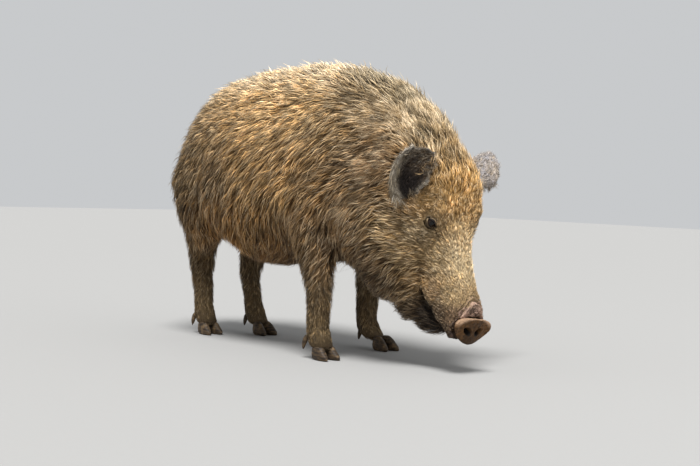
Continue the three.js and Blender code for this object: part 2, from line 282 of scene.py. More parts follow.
def effect(
    name: str, inputs: dict[str, str], outputs: dict[str, str]
) -> tuple[bpy.types.NodeTree, Nodes, dict, dict]:
    """Starts a shared shader group.

    Args:
        name: The group's name.
        inputs: Each input's name and kind, Float, Color or Vector.
        outputs: The same for the outputs.

    Returns:
        The group, its node builder, its input sockets and its output sockets, by name.
    """
    tree = bpy.data.node_groups.new(name, "ShaderNodeTree")
    for label, kind in inputs.items():
        tree.interface.new_socket(label, in_out="INPUT", socket_type=f"NodeSocket{kind}")
    for label, kind in outputs.items():
        tree.interface.new_socket(label, in_out="OUTPUT", socket_type=f"NodeSocket{kind}")
    nodes = Nodes(tree)
    source = nodes.add("NodeGroupInput")
    target = nodes.add("NodeGroupOutput")
    return tree, nodes, {k: source.outputs[k] for k in inputs}, {k: target.inputs[k] for k in outputs}


class Effects:
    """The shader groups that more than one finish uses, each built once."""

    def __init__(self) -> None:
        """Builds the groups."""
        self.bristle = self._bristle()
        self.dust = self._dust()

    @staticmethod
    def _bristle() -> bpy.types.NodeTree:
        """A bristle's colour: dark at its root, the pelt's own further out, and a pale tip on some."""
        tree, nodes, given, made = effect(
            "bristle_colour",
            {"Pelt": "Color", "Tip Colour": "Color", "Reach": "Float", "Fleck": "Float", "Frost": "Float"},
            {"Colour": "Color"},
        )
        root = nodes.mix(1.0, given["Pelt"], (0.24, 0.19, 0.15, 1.0), "MULTIPLY")
        grown = nodes.mix(nodes.between(given["Reach"], 0.1, 0.5), root, given["Pelt"])
        frosted = nodes.math("MULTIPLY", nodes.between(given["Reach"], 0.35, 0.85), given["Frost"])
        chosen = nodes.math("MULTIPLY", frosted, nodes.between(given["Fleck"], 0.35, 0.8))
        tipped = nodes.mix(chosen, grown, given["Tip Colour"])
        shade = nodes.math("ADD", nodes.math("MULTIPLY", given["Fleck"], 1.7), 0.15)
        grey = nodes.add("ShaderNodeCombineColor")
        for channel in range(3):
            nodes.join(shade, grey.inputs[channel])
        nodes.join(nodes.mix(1.0, tipped, grey.outputs[0], "MULTIPLY"), made["Colour"])
        return tree

    @staticmethod
    def _dust() -> bpy.types.NodeTree:
        """Dried soil that gathers in patches."""
        tree, nodes, given, made = effect(
            "dried_dust",
            {"Base": "Color", "Dust": "Color", "Amount": "Float", "Scale": "Float"},
            {"Colour": "Color", "Mask": "Float"},
        )
        place = nodes.object_place()
        patches = nodes.noise(place, given["Scale"], 5.0)
        level = nodes.math("ADD", patches, given["Amount"])
        mask = nodes.between(level, 0.75, 1.2)
        nodes.join(nodes.mix(mask, given["Base"], given["Dust"]), made["Colour"])
        nodes.join(mask, made["Mask"])
        return tree


@dataclass(frozen=True)
class Finish:
    """What every finish shares: a name and its plain surface values."""

    name: str
    roughness: float = 0.6
    specular: float = 0.3

    def start(self) -> tuple[bpy.types.Material, Nodes, bpy.types.Node]:
        """A new material, its node builder and its shader."""
        material = bpy.data.materials.new(self.name)
        material.use_nodes = True
        material.node_tree.nodes.clear()
        nodes = Nodes(material.node_tree)
        shader = nodes.add("ShaderNodeBsdfPrincipled")
        shader.inputs["Roughness"].default_value = self.roughness
        shader.inputs["Specular IOR Level"].default_value = self.specular
        nodes.join(shader.outputs[0], nodes.add("ShaderNodeOutputMaterial").inputs[0])
        return material, nodes, shader

    def group(self, nodes: Nodes, tree: bpy.types.NodeTree, **values: object) -> bpy.types.Node:
        """Places a shared group with its own values, whose names have _ for spaces."""
        node = nodes.add("ShaderNodeGroup", node_tree=tree)
        for label, value in values.items():
            nodes.feed(node.inputs[label.replace("_", " ")], value)
        return node


@dataclass(frozen=True)
class BristleFinish(Finish):
    """The coat's own finish."""

    roughness: float = 0.62
    specular: float = 0.25
    tip: Colour = linear(236, 214, 180)

    def make(self, effects: Effects) -> bpy.types.Material:
        """Builds the material."""
        material, nodes, shader = self.start()
        colour = self.group(
            nodes,
            effects.bristle,
            Pelt=nodes.attribute("pelt", "Color"),
            Tip_Colour=(*self.tip, 1.0),
            Reach=nodes.attribute("reach"),
            Fleck=nodes.attribute("fleck"),
            Frost=nodes.attribute("frost"),
        )
        nodes.join(colour.outputs["Colour"], shader.inputs["Base Color"])
        return material


@dataclass(frozen=True)
class SkinFinish(Finish):
    """The skin under the coat, with the coat's markings and the short underfur as bump."""

    roughness: float = 0.75
    specular: float = 0.2
    under: float = 0.62

    def make(self, effects: Effects) -> bpy.types.Material:
        """Builds the material."""
        material, nodes, shader = self.start()
        place = nodes.object_place()
        pelt = nodes.attribute("pelt", "Color")
        bare = nodes.attribute("bare")
        shade = nodes.mix(bare, (self.under, self.under, self.under, 1.0), (1.0, 1.0, 1.0, 1.0))
        fine = nodes.noise(place, 420.0, 4.0)
        grain = nodes.mix(nodes.between(fine, 0.3, 0.7), (0.62, 0.6, 0.58, 1.0), (1.15, 1.15, 1.15, 1.0))
        worn = nodes.mix(1.0, nodes.mix(1.0, pelt, shade, "MULTIPLY"), grain, "MULTIPLY")
        dusty = self.group(
            nodes, effects.dust, Base=worn, Dust=(*linear(170, 145, 118), 1.0), Amount=0.12, Scale=34.0
        )
        nodes.join(dusty.outputs["Colour"], shader.inputs["Base Color"])
        nodes.join(nodes.bump(fine, 0.6, 0.0012), shader.inputs["Normal"])
        return material


@dataclass(frozen=True)
class SnoutFinish(Finish):
    """The snout disc's bare, muddy skin."""

    roughness: float = 0.6
    specular: float = 0.2
    mud: Colour = linear(92, 68, 52)
    dust: Colour = linear(150, 110, 70)

    def make(self, effects: Effects) -> bpy.types.Material:
        """Builds the material."""
        material, nodes, shader = self.start()
        place = nodes.object_place()
        pores = nodes.add("ShaderNodeTexVoronoi", feature="F1")
        nodes.join(place, pores.inputs["Vector"])
        pores.inputs["Scale"].default_value = 330.0
        dusty = self.group(
            nodes,
            effects.dust,
            Base=nodes.attribute("pelt", "Color"),
            Dust=(*self.dust, 1.0),
            Amount=0.16,
            Scale=60.0,
        )
        nodes.join(dusty.outputs["Colour"], shader.inputs["Base Color"])
        wrinkle = nodes.math("ADD", pores.outputs["Distance"], nodes.noise(place, 240.0, 5.0))
        nodes.join(nodes.bump(wrinkle, 0.7, 0.0015), shader.inputs["Normal"])
        rough = nodes.math("ADD", nodes.math("MULTIPLY", dusty.outputs["Mask"], 0.3), 0.55)
        nodes.join(rough, shader.inputs["Roughness"])
        return material


@dataclass(frozen=True)
class HornFinish(Finish):
    """Hoof and dew-claw horn: dark, ringed and dusty."""

    roughness: float = 0.55
    specular: float = 0.2
    horn: Colour = linear(40, 33, 27)
    pale: Colour = linear(84, 68, 50)
    dust: Colour = linear(146, 120, 86)

    def make(self, effects: Effects) -> bpy.types.Material:
        """Builds the material."""
        material, nodes, shader = self.start()
        place = nodes.object_place()
        stretch = nodes.add("ShaderNodeMapping")
        stretch.inputs["Scale"].default_value = (40.0, 40.0, 260.0)
        nodes.join(place, stretch.inputs["Vector"])
        rings = nodes.noise(stretch.outputs[0], 1.0, 4.0)
        tone = nodes.mix(nodes.between(rings, 0.35, 0.7), (*self.horn, 1.0), (*self.pale, 1.0))
        dusty = self.group(nodes, effects.dust, Base=tone, Dust=(*self.dust, 1.0), Amount=0.3, Scale=70.0)
        nodes.join(dusty.outputs["Colour"], shader.inputs["Base Color"])
        nodes.join(nodes.bump(rings, 0.5, 0.0008), shader.inputs["Normal"])
        return material


@dataclass(frozen=True)
class EyeFinish(Finish):
    """A wet brown eye, with a darker pupil that faces outwards."""

    roughness: float = 0.12
    specular: float = 0.5
    iris: Colour = linear(40, 22, 13)
    pupil: Colour = linear(5, 4, 3)

    def make(self, centre: Array, gaze: Array, radius: float) -> bpy.types.Material:
        """Builds the material for the eye at `centre` that looks along `gaze`."""
        material, nodes, shader = self.start()
        shift = nodes.add("ShaderNodeVectorMath", operation="SUBTRACT")
        nodes.join(nodes.object_place(), shift.inputs[0])
        shift.inputs[1].default_value = tuple(centre)
        facing = nodes.add("ShaderNodeVectorMath", operation="DOT_PRODUCT")
        nodes.join(shift.outputs[0], facing.inputs[0])
        facing.inputs[1].default_value = tuple(gaze / radius)
        fibres = nodes.noise(nodes.object_place(), 900.0, 2.0)
        streaked = nodes.mix(fibres, (*(tone * 0.5 for tone in self.iris), 1.0), (*self.iris, 1.0))
        rim = nodes.mix(nodes.between(facing.outputs["Value"], 0.6, 0.78), (*self.pupil, 1.0), streaked)
        colour = nodes.mix(nodes.between(facing.outputs["Value"], 0.9, 0.94), rim, (*self.pupil, 1.0))
        nodes.join(colour, shader.inputs["Base Color"])
        shader.inputs["Specular IOR Level"].default_value = 0.25
        shader.inputs["Coat Weight"].default_value = 0.12
        shader.inputs["Coat Roughness"].default_value = 0.15
        return material


@dataclass(frozen=True)
class StageFinish(Finish):
    """The plain pale floor."""

    roughness: float = 0.9
    specular: float = 0.1
    tone: Colour = (0.335, 0.331, 0.323)

    def make(self) -> bpy.types.Material:
        """Builds the material."""
        material, nodes, shader = self.start()
        fine = nodes.noise(nodes.object_place(), 90.0, 3.0)
        tint = nodes.mix(fine, (*(c * 0.97 for c in self.tone), 1.0), (*self.tone, 1.0))
        nodes.join(tint, shader.inputs["Base Color"])
        return material


# ---- meshes --------------------------------------------------------------------------------------


def linked(name: str, mesh: bpy.types.Mesh) -> bpy.types.Object:
    """A new object in the scene that holds a mesh."""
    made = bpy.data.objects.new(name, mesh)
    bpy.context.scene.collection.objects.link(made)
    return made


def merged_copy(name: str, nodes: Iterable[str], grown: dict[str, float] | None = None) -> bpy.types.Object:
    """One object that holds welded copies of several CAD nodes' meshes.

    Args:
        name: The object's name.
        nodes: The CAD nodes.
        grown: How far the faces of some of them are moved out, so that a thin one keeps its edges.

    Returns:
        The object.
    """
    form = bmesh.new()
    for node in nodes:
        first = len(form.verts)
        form.from_mesh(bpy.data.objects[node].data)
        form.verts.ensure_lookup_table()
        fresh = form.verts[first:]
        bmesh.ops.remove_doubles(form, verts=fresh, dist=1e-5)
        if grown and node in grown:
            form.verts.ensure_lookup_table()
            fresh = form.verts[first:]
            form.normal_update()
            for vert, way in [(vert, vert.normal.copy()) for vert in fresh]:
                vert.co += way * grown[node]
    mesh = bpy.data.meshes.new(name)
    form.to_mesh(mesh)
    form.free()
    return linked(name, mesh)


def with_modifier(piece: bpy.types.Object, kind: str, **settings: object) -> None:
    """Adds a modifier to a piece and applies it."""
    modifier = piece.modifiers.new(kind.lower(), kind)
    for name, value in settings.items():
        setattr(modifier, name, value)
    deps = bpy.context.evaluated_depsgraph_get()
    shaped = bpy.data.meshes.new_from_object(piece.evaluated_get(deps))
    old = piece.data
    piece.modifiers.clear()
    piece.data = shaped
    shaped.name = piece.name
    bpy.data.meshes.remove(old)


def spots(mesh: bpy.types.Mesh) -> Array:
    """A mesh's vertices as an array."""
    place = np.empty(len(mesh.vertices) * 3, dtype=np.float32)
    mesh.vertices.foreach_get("co", place)
    return place.reshape(-1, 3).astype(np.float64)


def move_spots(mesh: bpy.types.Mesh, place: Array) -> None:
    """Puts a mesh's vertices at new places."""
    mesh.vertices.foreach_set("co", np.ascontiguousarray(place, dtype=np.float32).ravel())
    mesh.update()


def outward(mesh: bpy.types.Mesh) -> Array:
    """A mesh's vertex normals as an array."""
    normals = np.empty(len(mesh.vertices) * 3, dtype=np.float32)
    mesh.vertex_normals.foreach_get("vector", normals)
    return normals.reshape(-1, 3).astype(np.float64)


def edge_pairs(mesh: bpy.types.Mesh) -> Array:
    """A mesh's edges as an array of vertex pairs."""
    pairs = np.empty(len(mesh.edges) * 2, dtype=np.int32)
    mesh.edges.foreach_get("vertices", pairs)
    return pairs.reshape(-1, 2)


def spread(values: Array, pairs: Array, rounds: int, share: float = 0.5) -> Array:
    """Evens out per-vertex values over the mesh.

    Args:
        values: One row for each vertex.
        pairs: The mesh's edges.
        rounds: How many times each vertex moves towards its neighbours' mean.
        share: How far it moves each time.

    Returns:
        The evened values.
    """
    flat = values.ndim == 1
    held = values.reshape(len(values), -1).astype(np.float64)
    count = np.bincount(pairs.ravel(), minlength=len(held)).astype(np.float64)[:, None]
    count = np.maximum(count, 1.0)
    first, second = pairs[:, 0], pairs[:, 1]
    for _ in range(rounds):
        total = np.empty_like(held)
        for column in range(held.shape[1]):
            total[:, column] = np.bincount(first, held[second, column], len(held))
            total[:, column] += np.bincount(second, held[first, column], len(held))
        held = held + share * (total / count - held)
    return held[:, 0] if flat else held


def relaxed(place: Array, pairs: Array, rounds: int) -> Array:
    """Evens out a mesh's steps without shrinking its thin parts."""
    for _ in range(rounds):
        place = spread(spread(place, pairs, 1, 0.55), pairs, 1, -0.57)
    return place


def set_attribute(mesh: bpy.types.Mesh, name: str, values: Array) -> None:
    """Writes a float or colour attribute, one value for each vertex."""
    if values.ndim == 1:
        made = mesh.attributes.new(name, "FLOAT", "POINT")
        made.data.foreach_set("value", values.astype(np.float32))
        return
    made = mesh.attributes.new(name, "FLOAT_COLOR", "POINT")
    full = np.ones((len(values), 4), dtype=np.float32)
    full[:, :3] = values
    made.data.foreach_set("color", full.ravel())


def dressed(
    piece: bpy.types.Object, material: bpy.types.Material, slot: str, *nodes: str
) -> bpy.types.Object:
    """Gives a piece its material, lets it ride on the body, and hides the nodes that it replaces."""
    piece.data.materials.clear()
    piece.data.materials.append(material)
    piece.data.shade_smooth()
    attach(piece, BODY)
    if nodes:
        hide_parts(*nodes)
    log.info("%s: %d faces", piece.name, len(piece.data.polygons))
    return piece


# ---- the pelt ------------------------------------------------------------------------------------


class Measure(Enum):
    """Which measures a patch's place is given in."""

    STANCE = "millimetres forward, left and up from the hind feet"
    HEAD = "millimetres along the face, over it and left, from the poll"


@dataclass(frozen=True)
class Patch:
    """How the pelt is at one place: its lie, measures and colour.

    A patch that isn't on one side only holds for both sides of the sow.
    """

    place: tuple[float, float, float]
    lie: tuple[float, float, float]
    long: float
    deep: float
    colour: tuple[int, int, int]
    frost: float = 0.5
    reach: float = 120.0
    free: float = 0.0
    measure: Measure = Measure.STANCE
    one_side: bool = False


def leg_patches(side: int, elbow: float, shank: float, foot: float, apart: float) -> tuple[Patch, ...]:
    """The patches down one leg.

    Args:
        side: 1 for left, -1 for right.
        elbow: How far forward its upper end is.
        shank: How far forward its middle is.
        foot: How far forward its foot is.
        apart: How far from the middle line it is.

    Returns:
        The patches, from the top down.
    """
    dark = (98, 82, 62)
    return (
        Patch(
            (elbow, side * (apart + 30), 330), (-0.3, 0.0, -1.0),
            40, 14, (112, 90, 64), 0.5, 80, one_side=True,
        ),
        Patch(
            (elbow, side * apart, 250), (-0.35, 0.0, -1.0),
            30, 9, (102, 84, 62), 0.4, 60, 0.2, one_side=True,
        ),
        Patch((shank, side * apart, 180), (-0.3, 0.0, -1.0), 20, 6, dark, 0.35, 50, 0.1, one_side=True),
        Patch((shank, side * apart, 120), (-0.25, 0.0, -1.0), 15, 4, (114, 96, 72), 0.35, 45, one_side=True),
        Patch((foot, side * apart, 70), (0.15, 0.0, -1.0), 18, 1.2, (112, 95, 72), 0.4, 40, one_side=True),
        Patch(
            (foot - 40, side * apart, 60), (-0.15, 0.0, -1.0),
            24, 0.6, (72, 60, 48), 0.3, 34, 0.3, one_side=True,
        ),
        Patch(
            (foot + 20, side * apart, 40), (0.3, 0.0, -1.0),
            24, 0.2, (98, 84, 68), 0.35, 36, 0.35, one_side=True,
        ),
    )


@dataclass(frozen=True)
class Ear:
    """One ear: a leaf cupped round its own axis, whose line turns by its tip.

    Its root is in the head's measures in millimetres, and its axis and the way its hollow faces are plain
    directions.
    """

    root: tuple[float, float, float]
    axis: tuple[float, float, float]
    mouth: tuple[float, float, float]
    sweep: float
    back: tuple[int, int, int]
    rim: tuple[int, int, int]
    fringe: bool = False
    long: float = 0.158
    half: float = 0.054

    def leaf(self, marks: Landmarks) -> dict[str, Array]:
        """Points all over the leaf.

        Args:
            marks: The sow's landmarks.

        Returns:
            For each point its place, how far it is towards the tip (0 to 1), across (-1 to 1) and out towards
            the rim (0 to 1), the ways towards the tip and across, and the way that its hollow side faces.
        """
        first, second, third = (value / 1000.0 for value in self.root)
        root = marks.place(first, second, third)
        rise = unit(np.array(self.axis))
        front = across_plane(np.array(self.mouth), rise)
        beside = np.cross(rise, front)
        grids = np.meshgrid(np.linspace(0.02, 0.98, 49), np.linspace(-1.0, 1.0, 33))
        share, over = (grid.ravel() for grid in grids)

        def at(share: Array, over: Array) -> Array:
            """The place of each point, from its steps along and across the leaf."""
            lean = 2.0 * share - 1.0
            aside = over * np.sqrt(np.maximum(1.0 - lean**2, 0.0))
            cup = 0.034 + 0.040 * share
            width = 0.78 + 0.46 * np.sin(math.pi * share**0.8)
            angle = aside * self.half * width * (1.0 - 0.3 * share**3) / cup
            bend = self.sweep * share
            wide, out = cup * np.sin(angle), cup * (1.0 - np.cos(angle))
            up = self.long * np.sin(bend) / self.sweep - wide * np.sin(bend)
            off = self.long * (1.0 - np.cos(bend)) / self.sweep + wide * np.cos(bend)
            return root + up[:, None] * rise + off[:, None] * beside + out[:, None] * front

        place = at(share, over)
        tipward = unit(at(np.minimum(share + 0.02, 1.0), over) - at(share - 0.02, over))
        sideward = unit(at(share, over + 0.02) - at(share, over - 0.02))
        facing = unit(np.cross(tipward, sideward))
        facing *= np.sign(facing @ front)[:, None] if np.ndim(facing @ front) else 1.0
        edge = np.hypot(over * np.sqrt(np.maximum(1.0 - (2.0 * share - 1.0) ** 2, 0.0)), 2.0 * share - 1.0)
        return {
            "place": place,
            "share": share,
            "over": over,
            "edge": edge,
            "tipward": tipward,
            "sideward": sideward,
            "facing": facing,
        }


EARS = {
    "right": Ear(
        (64, -30, -121),
        (-0.3, -0.4, 0.87),
        (0.75, -0.6, 0.05),
        2.25,
        (112, 97, 78),
        (206, 198, 184),
        True,
    ),
    "left": Ear(
        (16, -22, 94),
        (-0.14, 0.88, 0.46),
        (-0.6, 0.45, -0.5),
        0.3,
        (186, 176, 168),
        (206, 196, 186),
    ),
}


@dataclass(frozen=True)
class Pelt:
    """The map of the coat over the whole sow."""

    marks: Landmarks
    # painted shade deep in an ear's hollow and on the head's skin at the bottom of it
    ear_hollow_shade: tuple[int, int, int] = (30, 22, 17)
    ear_inside: tuple[int, int, int] = (74, 58, 40)
    gain: tuple[float, float, float] = (1.4, 1.34, 1.12)
    patches: tuple[Patch, ...] = (
        # rump and back
        Patch((-235, 70, 520), (-0.25, 0.0, -1.0), 45, 18, (78, 62, 42), 0.5),
        Patch((-200, 60, 660), (-0.6, 0.0, -0.8), 50, 21, (96, 78, 54), 0.6),
        Patch((-90, 40, 750), (-0.95, 0.0, -0.35), 54, 25, (192, 172, 146), 0.8),
        Patch((80, 30, 790), (-1.0, 0.0, -0.1), 58, 26, (226, 208, 186), 0.9),
        Patch((270, 30, 800), (-1.0, 0.0, -0.05), 60, 27, (234, 216, 194), 0.9),
        Patch((450, 30, 790), (-1.0, 0.0, 0.0), 60, 28, (222, 204, 182), 0.9),
        # sides
        Patch((-60, 170, 620), (-0.75, 0.0, -0.7), 52, 23, (132, 112, 88), 0.6),
        Patch((110, 180, 640), (-0.8, 0.0, -0.6), 55, 24, (186, 155, 116), 0.75),
        Patch((300, 180, 650), (-0.8, 0.0, -0.6), 56, 24, (204, 173, 132), 0.85),
        Patch((470, 160, 660), (-0.8, 0.0, -0.6), 56, 25, (198, 168, 128), 0.85),
        Patch((-40, 205, 470), (-0.3, 0.0, -1.0), 55, 22, (104, 85, 61), 0.5),
        Patch((110, 215, 470), (-0.15, 0.0, -1.0), 60, 24, (98, 78, 56), 0.6),
        Patch((290, 215, 470), (-0.5, 0.0, -0.9), 60, 24, (146, 117, 80), 0.65),
        Patch((460, 200, 480), (-0.5, 0.0, -0.9), 56, 24, (168, 136, 96), 0.7),
        Patch((60, 190, 320), (-0.25, 0.0, -1.0), 62, 22, (136, 102, 64), 0.5, 110, 0.15),
        Patch((220, 190, 300), (-0.3, 0.0, -1.0), 64, 22, (142, 108, 69), 0.5, 110, 0.2),
        Patch((360, 185, 300), (-0.35, 0.0, -1.0), 60, 22, (126, 97, 65), 0.5, 110, 0.15),
        Patch((140, 165, 285), (-0.6, 0.0, -0.75), 24, 8, (140, 106, 68), 0.5, 62),
        Patch((220, 120, 225), (-0.4, 0.0, -1.0), 56, 16, (122, 92, 60), 0.4, 80, 0.45),
        Patch((60, 120, 235), (-0.3, 0.0, -1.0), 52, 15, (112, 86, 58), 0.4, 80, 0.35),
        Patch((150, 0, 215), (-0.8, 0.0, -0.5), 40, 11, (78, 58, 40), 0.2, 100, 0.2),
        Patch((400, 0, 250), (-0.7, 0.0, -0.6), 40, 12, (74, 57, 42), 0.2, 90, 0.2),
        # thighs and shoulders
        Patch((-170, 150, 430), (-0.35, 0.0, -1.0), 44, 17, (90, 73, 51), 0.5, 90),
        Patch((-60, 180, 400), (-0.3, 0.0, -1.0), 42, 17, (104, 85, 63), 0.5, 90),
        Patch((-110, 140, 310), (-0.4, 0.0, -1.0), 34, 12, (86, 71, 55), 0.35, 70),
        Patch((-60, 0, 330), (-0.1, 0.0, -1.0), 24, 8, (70, 57, 45), 0.2, 80),
        Patch((480, 190, 380), (-0.35, 0.0, -1.0), 48, 18, (126, 100, 72), 0.6, 90),
        # neck
        Patch((600, 25, 760), (-0.95, 0.0, 0.25), 60, 28, (138, 127, 110), 0.85, 100),
        Patch((720, 25, 670), (-0.85, 0.0, 0.5), 56, 26, (130, 118, 99), 0.8, 90),
        Patch((790, 25, 590), (-0.8, 0.0, 0.6), 48, 22, (138, 121, 98), 0.8, 80),
        Patch((600, 150, 620), (-0.8, 0.0, -0.5), 58, 26, (154, 130, 100), 0.8),
        Patch((700, 140, 540), (-0.85, 0.0, -0.4), 55, 25, (136, 111, 85), 0.75),
        Patch((570, 190, 480), (-0.65, 0.0, -0.75), 58, 26, (144, 116, 84), 0.7),
        Patch((670, 170, 400), (-0.75, 0.0, -0.65), 56, 25, (128, 104, 78), 0.75),
        Patch((590, 150, 330), (-0.55, 0.0, -0.85), 54, 22, (112, 90, 68), 0.6, 100, 0.15),
        Patch((700, 60, 270), (-0.75, 0.0, -0.65), 54, 18, (98, 80, 62), 0.5, 100, 0.35),
        Patch((560, 0, 320), (-0.4, 0.0, -0.9), 40, 14, (76, 60, 46), 0.2, 80, 0.1),
        # head
        Patch((-20, 40, 15), (-1.0, 0.1, 0.0), 44, 19, (152, 128, 96), 0.8, 70, measure=Measure.HEAD),
        Patch((45, 45, 20), (-1.0, 0.35, 0.0), 34, 14, (176, 140, 90), 0.7, 60, measure=Measure.HEAD),
        Patch((100, 30, 20), (-1.0, 0.2, 0.0), 20, 9, (180, 147, 102), 0.6, 50, measure=Measure.HEAD),
        Patch((118, -8, 66), (-1.0, 0.1, 0.25), 11, 1.5, (150, 126, 96), 0.4, 30, measure=Measure.HEAD),
        Patch((165, 0, 0), (-1.0, 0.1, 0.0), 13, 7, (190, 168, 138), 0.5, 50, measure=Measure.HEAD),
        Patch((240, -10, 0), (-1.0, 0.05, 0.0), 11, 5.5, (202, 184, 158), 0.4, 50, measure=Measure.HEAD),
        Patch((330, -18, 0), (-1.0, 0.0, 0.0), 7, 4, (152, 131, 104), 0.3, 45, measure=Measure.HEAD),
        Patch((60, -40, 100), (-0.9, -0.4, 0.2), 24, 11, (150, 124, 94), 0.6, 50, measure=Measure.HEAD),
        Patch((135, -60, 85), (-0.8, -0.6, 0.2), 20, 9, (150, 132, 108), 0.7, 50, measure=Measure.HEAD),
        Patch((210, -55, 60), (-0.9, -0.45, 0.1), 13, 6, (166, 146, 118), 0.5, 50, measure=Measure.HEAD),
        Patch((290, -50, 52), (-0.95, -0.3, 0.1), 9, 4.5, (168, 146, 116), 0.4, 45, measure=Measure.HEAD),
        Patch((360, -60, 48), (-1.0, -0.2, 0.1), 6, 3, (112, 92, 76), 0.25, 40, measure=Measure.HEAD),
        Patch((100, -120, 105), (-0.55, -0.8, 0.2), 42, 20, (164, 141, 110), 0.85, 60, measure=Measure.HEAD),
        Patch((30, -170, 105), (-0.35, -1.0, 0.1), 54, 24, (158, 132, 99), 0.8, 70, measure=Measure.HEAD),
        Patch((170, -110, 78), (-0.6, -0.8, 0.1), 30, 13, (164, 141, 110), 0.8, 50, measure=Measure.HEAD),
        Patch(
            (230, -120, 50), (-0.55, -0.9, 0.0),
            34, 12, (158, 132, 100), 0.65, 50, 0.1, measure=Measure.HEAD,
        ),
        Patch((280, -90, 50), (-0.8, -0.6, 0.0), 13, 5, (140, 118, 94), 0.4, 40, measure=Measure.HEAD),
        Patch((335, -95, 40), (-0.9, -0.5, 0.0), 9, 3.5, (92, 76, 62), 0.3, 35, measure=Measure.HEAD),
        Patch((376, -94, 36), (-1.0, -0.3, 0.1), 6, 2, (84, 69, 58), 0.2, 30, measure=Measure.HEAD),
        # the jaw below the mouth: dark hair, partly painted shade under the chin
        Patch((320, -135, 15), (-0.5, -0.9, 0.0), 44, 14, (44, 36, 31), 0.12, 45, 0.3, measure=Measure.HEAD),
        Patch((250, -150, 0), (-0.5, -0.9, 0.0), 44, 14, (60, 49, 40), 0.2, 50, 0.3, measure=Measure.HEAD),
        Patch((120, -195, 0), (-0.4, -1.0, 0.0), 46, 16, (108, 89, 68), 0.4, 60, 0.3, measure=Measure.HEAD),
        Patch((64, -30, -121), (-0.8, 0.2, -0.3), 18, 5, (140, 116, 88), 0.6, 42, 0.0, Measure.HEAD, True),
        Patch((72, -4, -97), (0.5, 0.3, 0.6), 12, 5, (144, 116, 78), 0.6, 34, 0.0, Measure.HEAD, True),
        Patch((16, -22, 94), (-0.8, 0.2, 0.3), 18, 5, (150, 126, 98), 0.6, 38, 0.0, Measure.HEAD, True),
        # tail
        Patch((-262, 0, 520), (-0.1, 0.0, -1.0), 14, 4, (90, 76, 60), 0.4, 35),
        Patch((-275, 0, 400), (-0.1, 0.0, -1.0), 40, 6, (70, 58, 48), 0.3, 45, 0.5),
        # legs
        Patch((435, -150, 300), (-0.75, 0.0, -0.8), 46, 12, (112, 90, 66), 0.5, 45, 0.55, one_side=True),
        Patch((450, -145, 235), (-0.7, 0.0, -0.8), 40, 9, (104, 86, 64), 0.45, 40, 0.55, one_side=True),
        Patch((375, 150, 290), (-0.75, 0.0, -0.8), 46, 12, (106, 86, 64), 0.5, 45, 0.55, one_side=True),
        Patch((380, 145, 225), (-0.7, 0.0, -0.8), 38, 9, (98, 82, 62), 0.45, 40, 0.55, one_side=True),
        *leg_patches(-1, 480, 512, 540, 142),
        *leg_patches(1, 430, 405, 430, 142),
        *leg_patches(-1, -100, -90, -60, 72),
        *leg_patches(1, -50, -35, 0, 68),
    )

    def read(self, points: Array, normals: Array, ears: dict[str, Array]) -> dict[str, Array]:
        """Reads the map.

        Args:
            points: Where it is read.
            normals: The skin's normals there.
            ears: For each side, how far each point belongs to that ear, 0 to 1.

        Returns:
            The lie, length, depth, colour, frost and freedom of the coat at each point.
        """
        places, lies, rest, reach = [], [], [], []
        for patch in self.patches:
            for side in (1.0,) if patch.one_side else (1.0, -1.0):
                first, second, third = (value / 1000.0 for value in patch.place)
                if patch.measure is Measure.HEAD:
                    places.append(self.marks.place(first, second, side * third))
                    along, over, left = patch.lie
                    sideways = np.array([0.0, side * left, 0.0])
                    lies.append(along * self.marks.along + over * self.marks.over + sideways)
                else:
                    places.append(self.marks.stance + np.array([first, side * second, third]))
                    lies.append(np.array(patch.lie) * np.array([1.0, side, 1.0]))
                long, deep = patch.long / 1000.0, patch.deep / 1000.0
                rest.append([long, deep, patch.frost, patch.free, *linear(*patch.colour)])
                reach.append(patch.reach / 1000.0)
        places, lies, rest, reach = np.array(places), unit(np.array(lies)), np.array(rest), np.array(reach)
        total = np.zeros((len(points), 3 + rest.shape[1]))
        weight = np.zeros(len(points))
        for place, lie, values, far in zip(places, lies, rest, reach, strict=True):
            nearness = 1.0 / (np.sum(((points - place) / far) ** 2, axis=1) + 0.04) ** 2.5
            total += nearness[:, None] * np.concatenate([lie, values])
            weight += nearness
        total /= weight[:, None]
        lie, long, deep, frost, free, colour = (
            unit(total[:, :3]),
            total[:, 3],
            total[:, 4],
            total[:, 5],
            total[:, 6],
            total[:, 7:10],
        )
        colour = colour * np.array(self.gain)
        made = {"lie": lie, "long": long, "deep": deep, "frost": frost, "free": free, "pelt": colour}
        for side, share in ears.items():
            self._dress_ear(made, points, normals, side, share)
        made["lie"] = across_plane(made["lie"], normals)
        return made

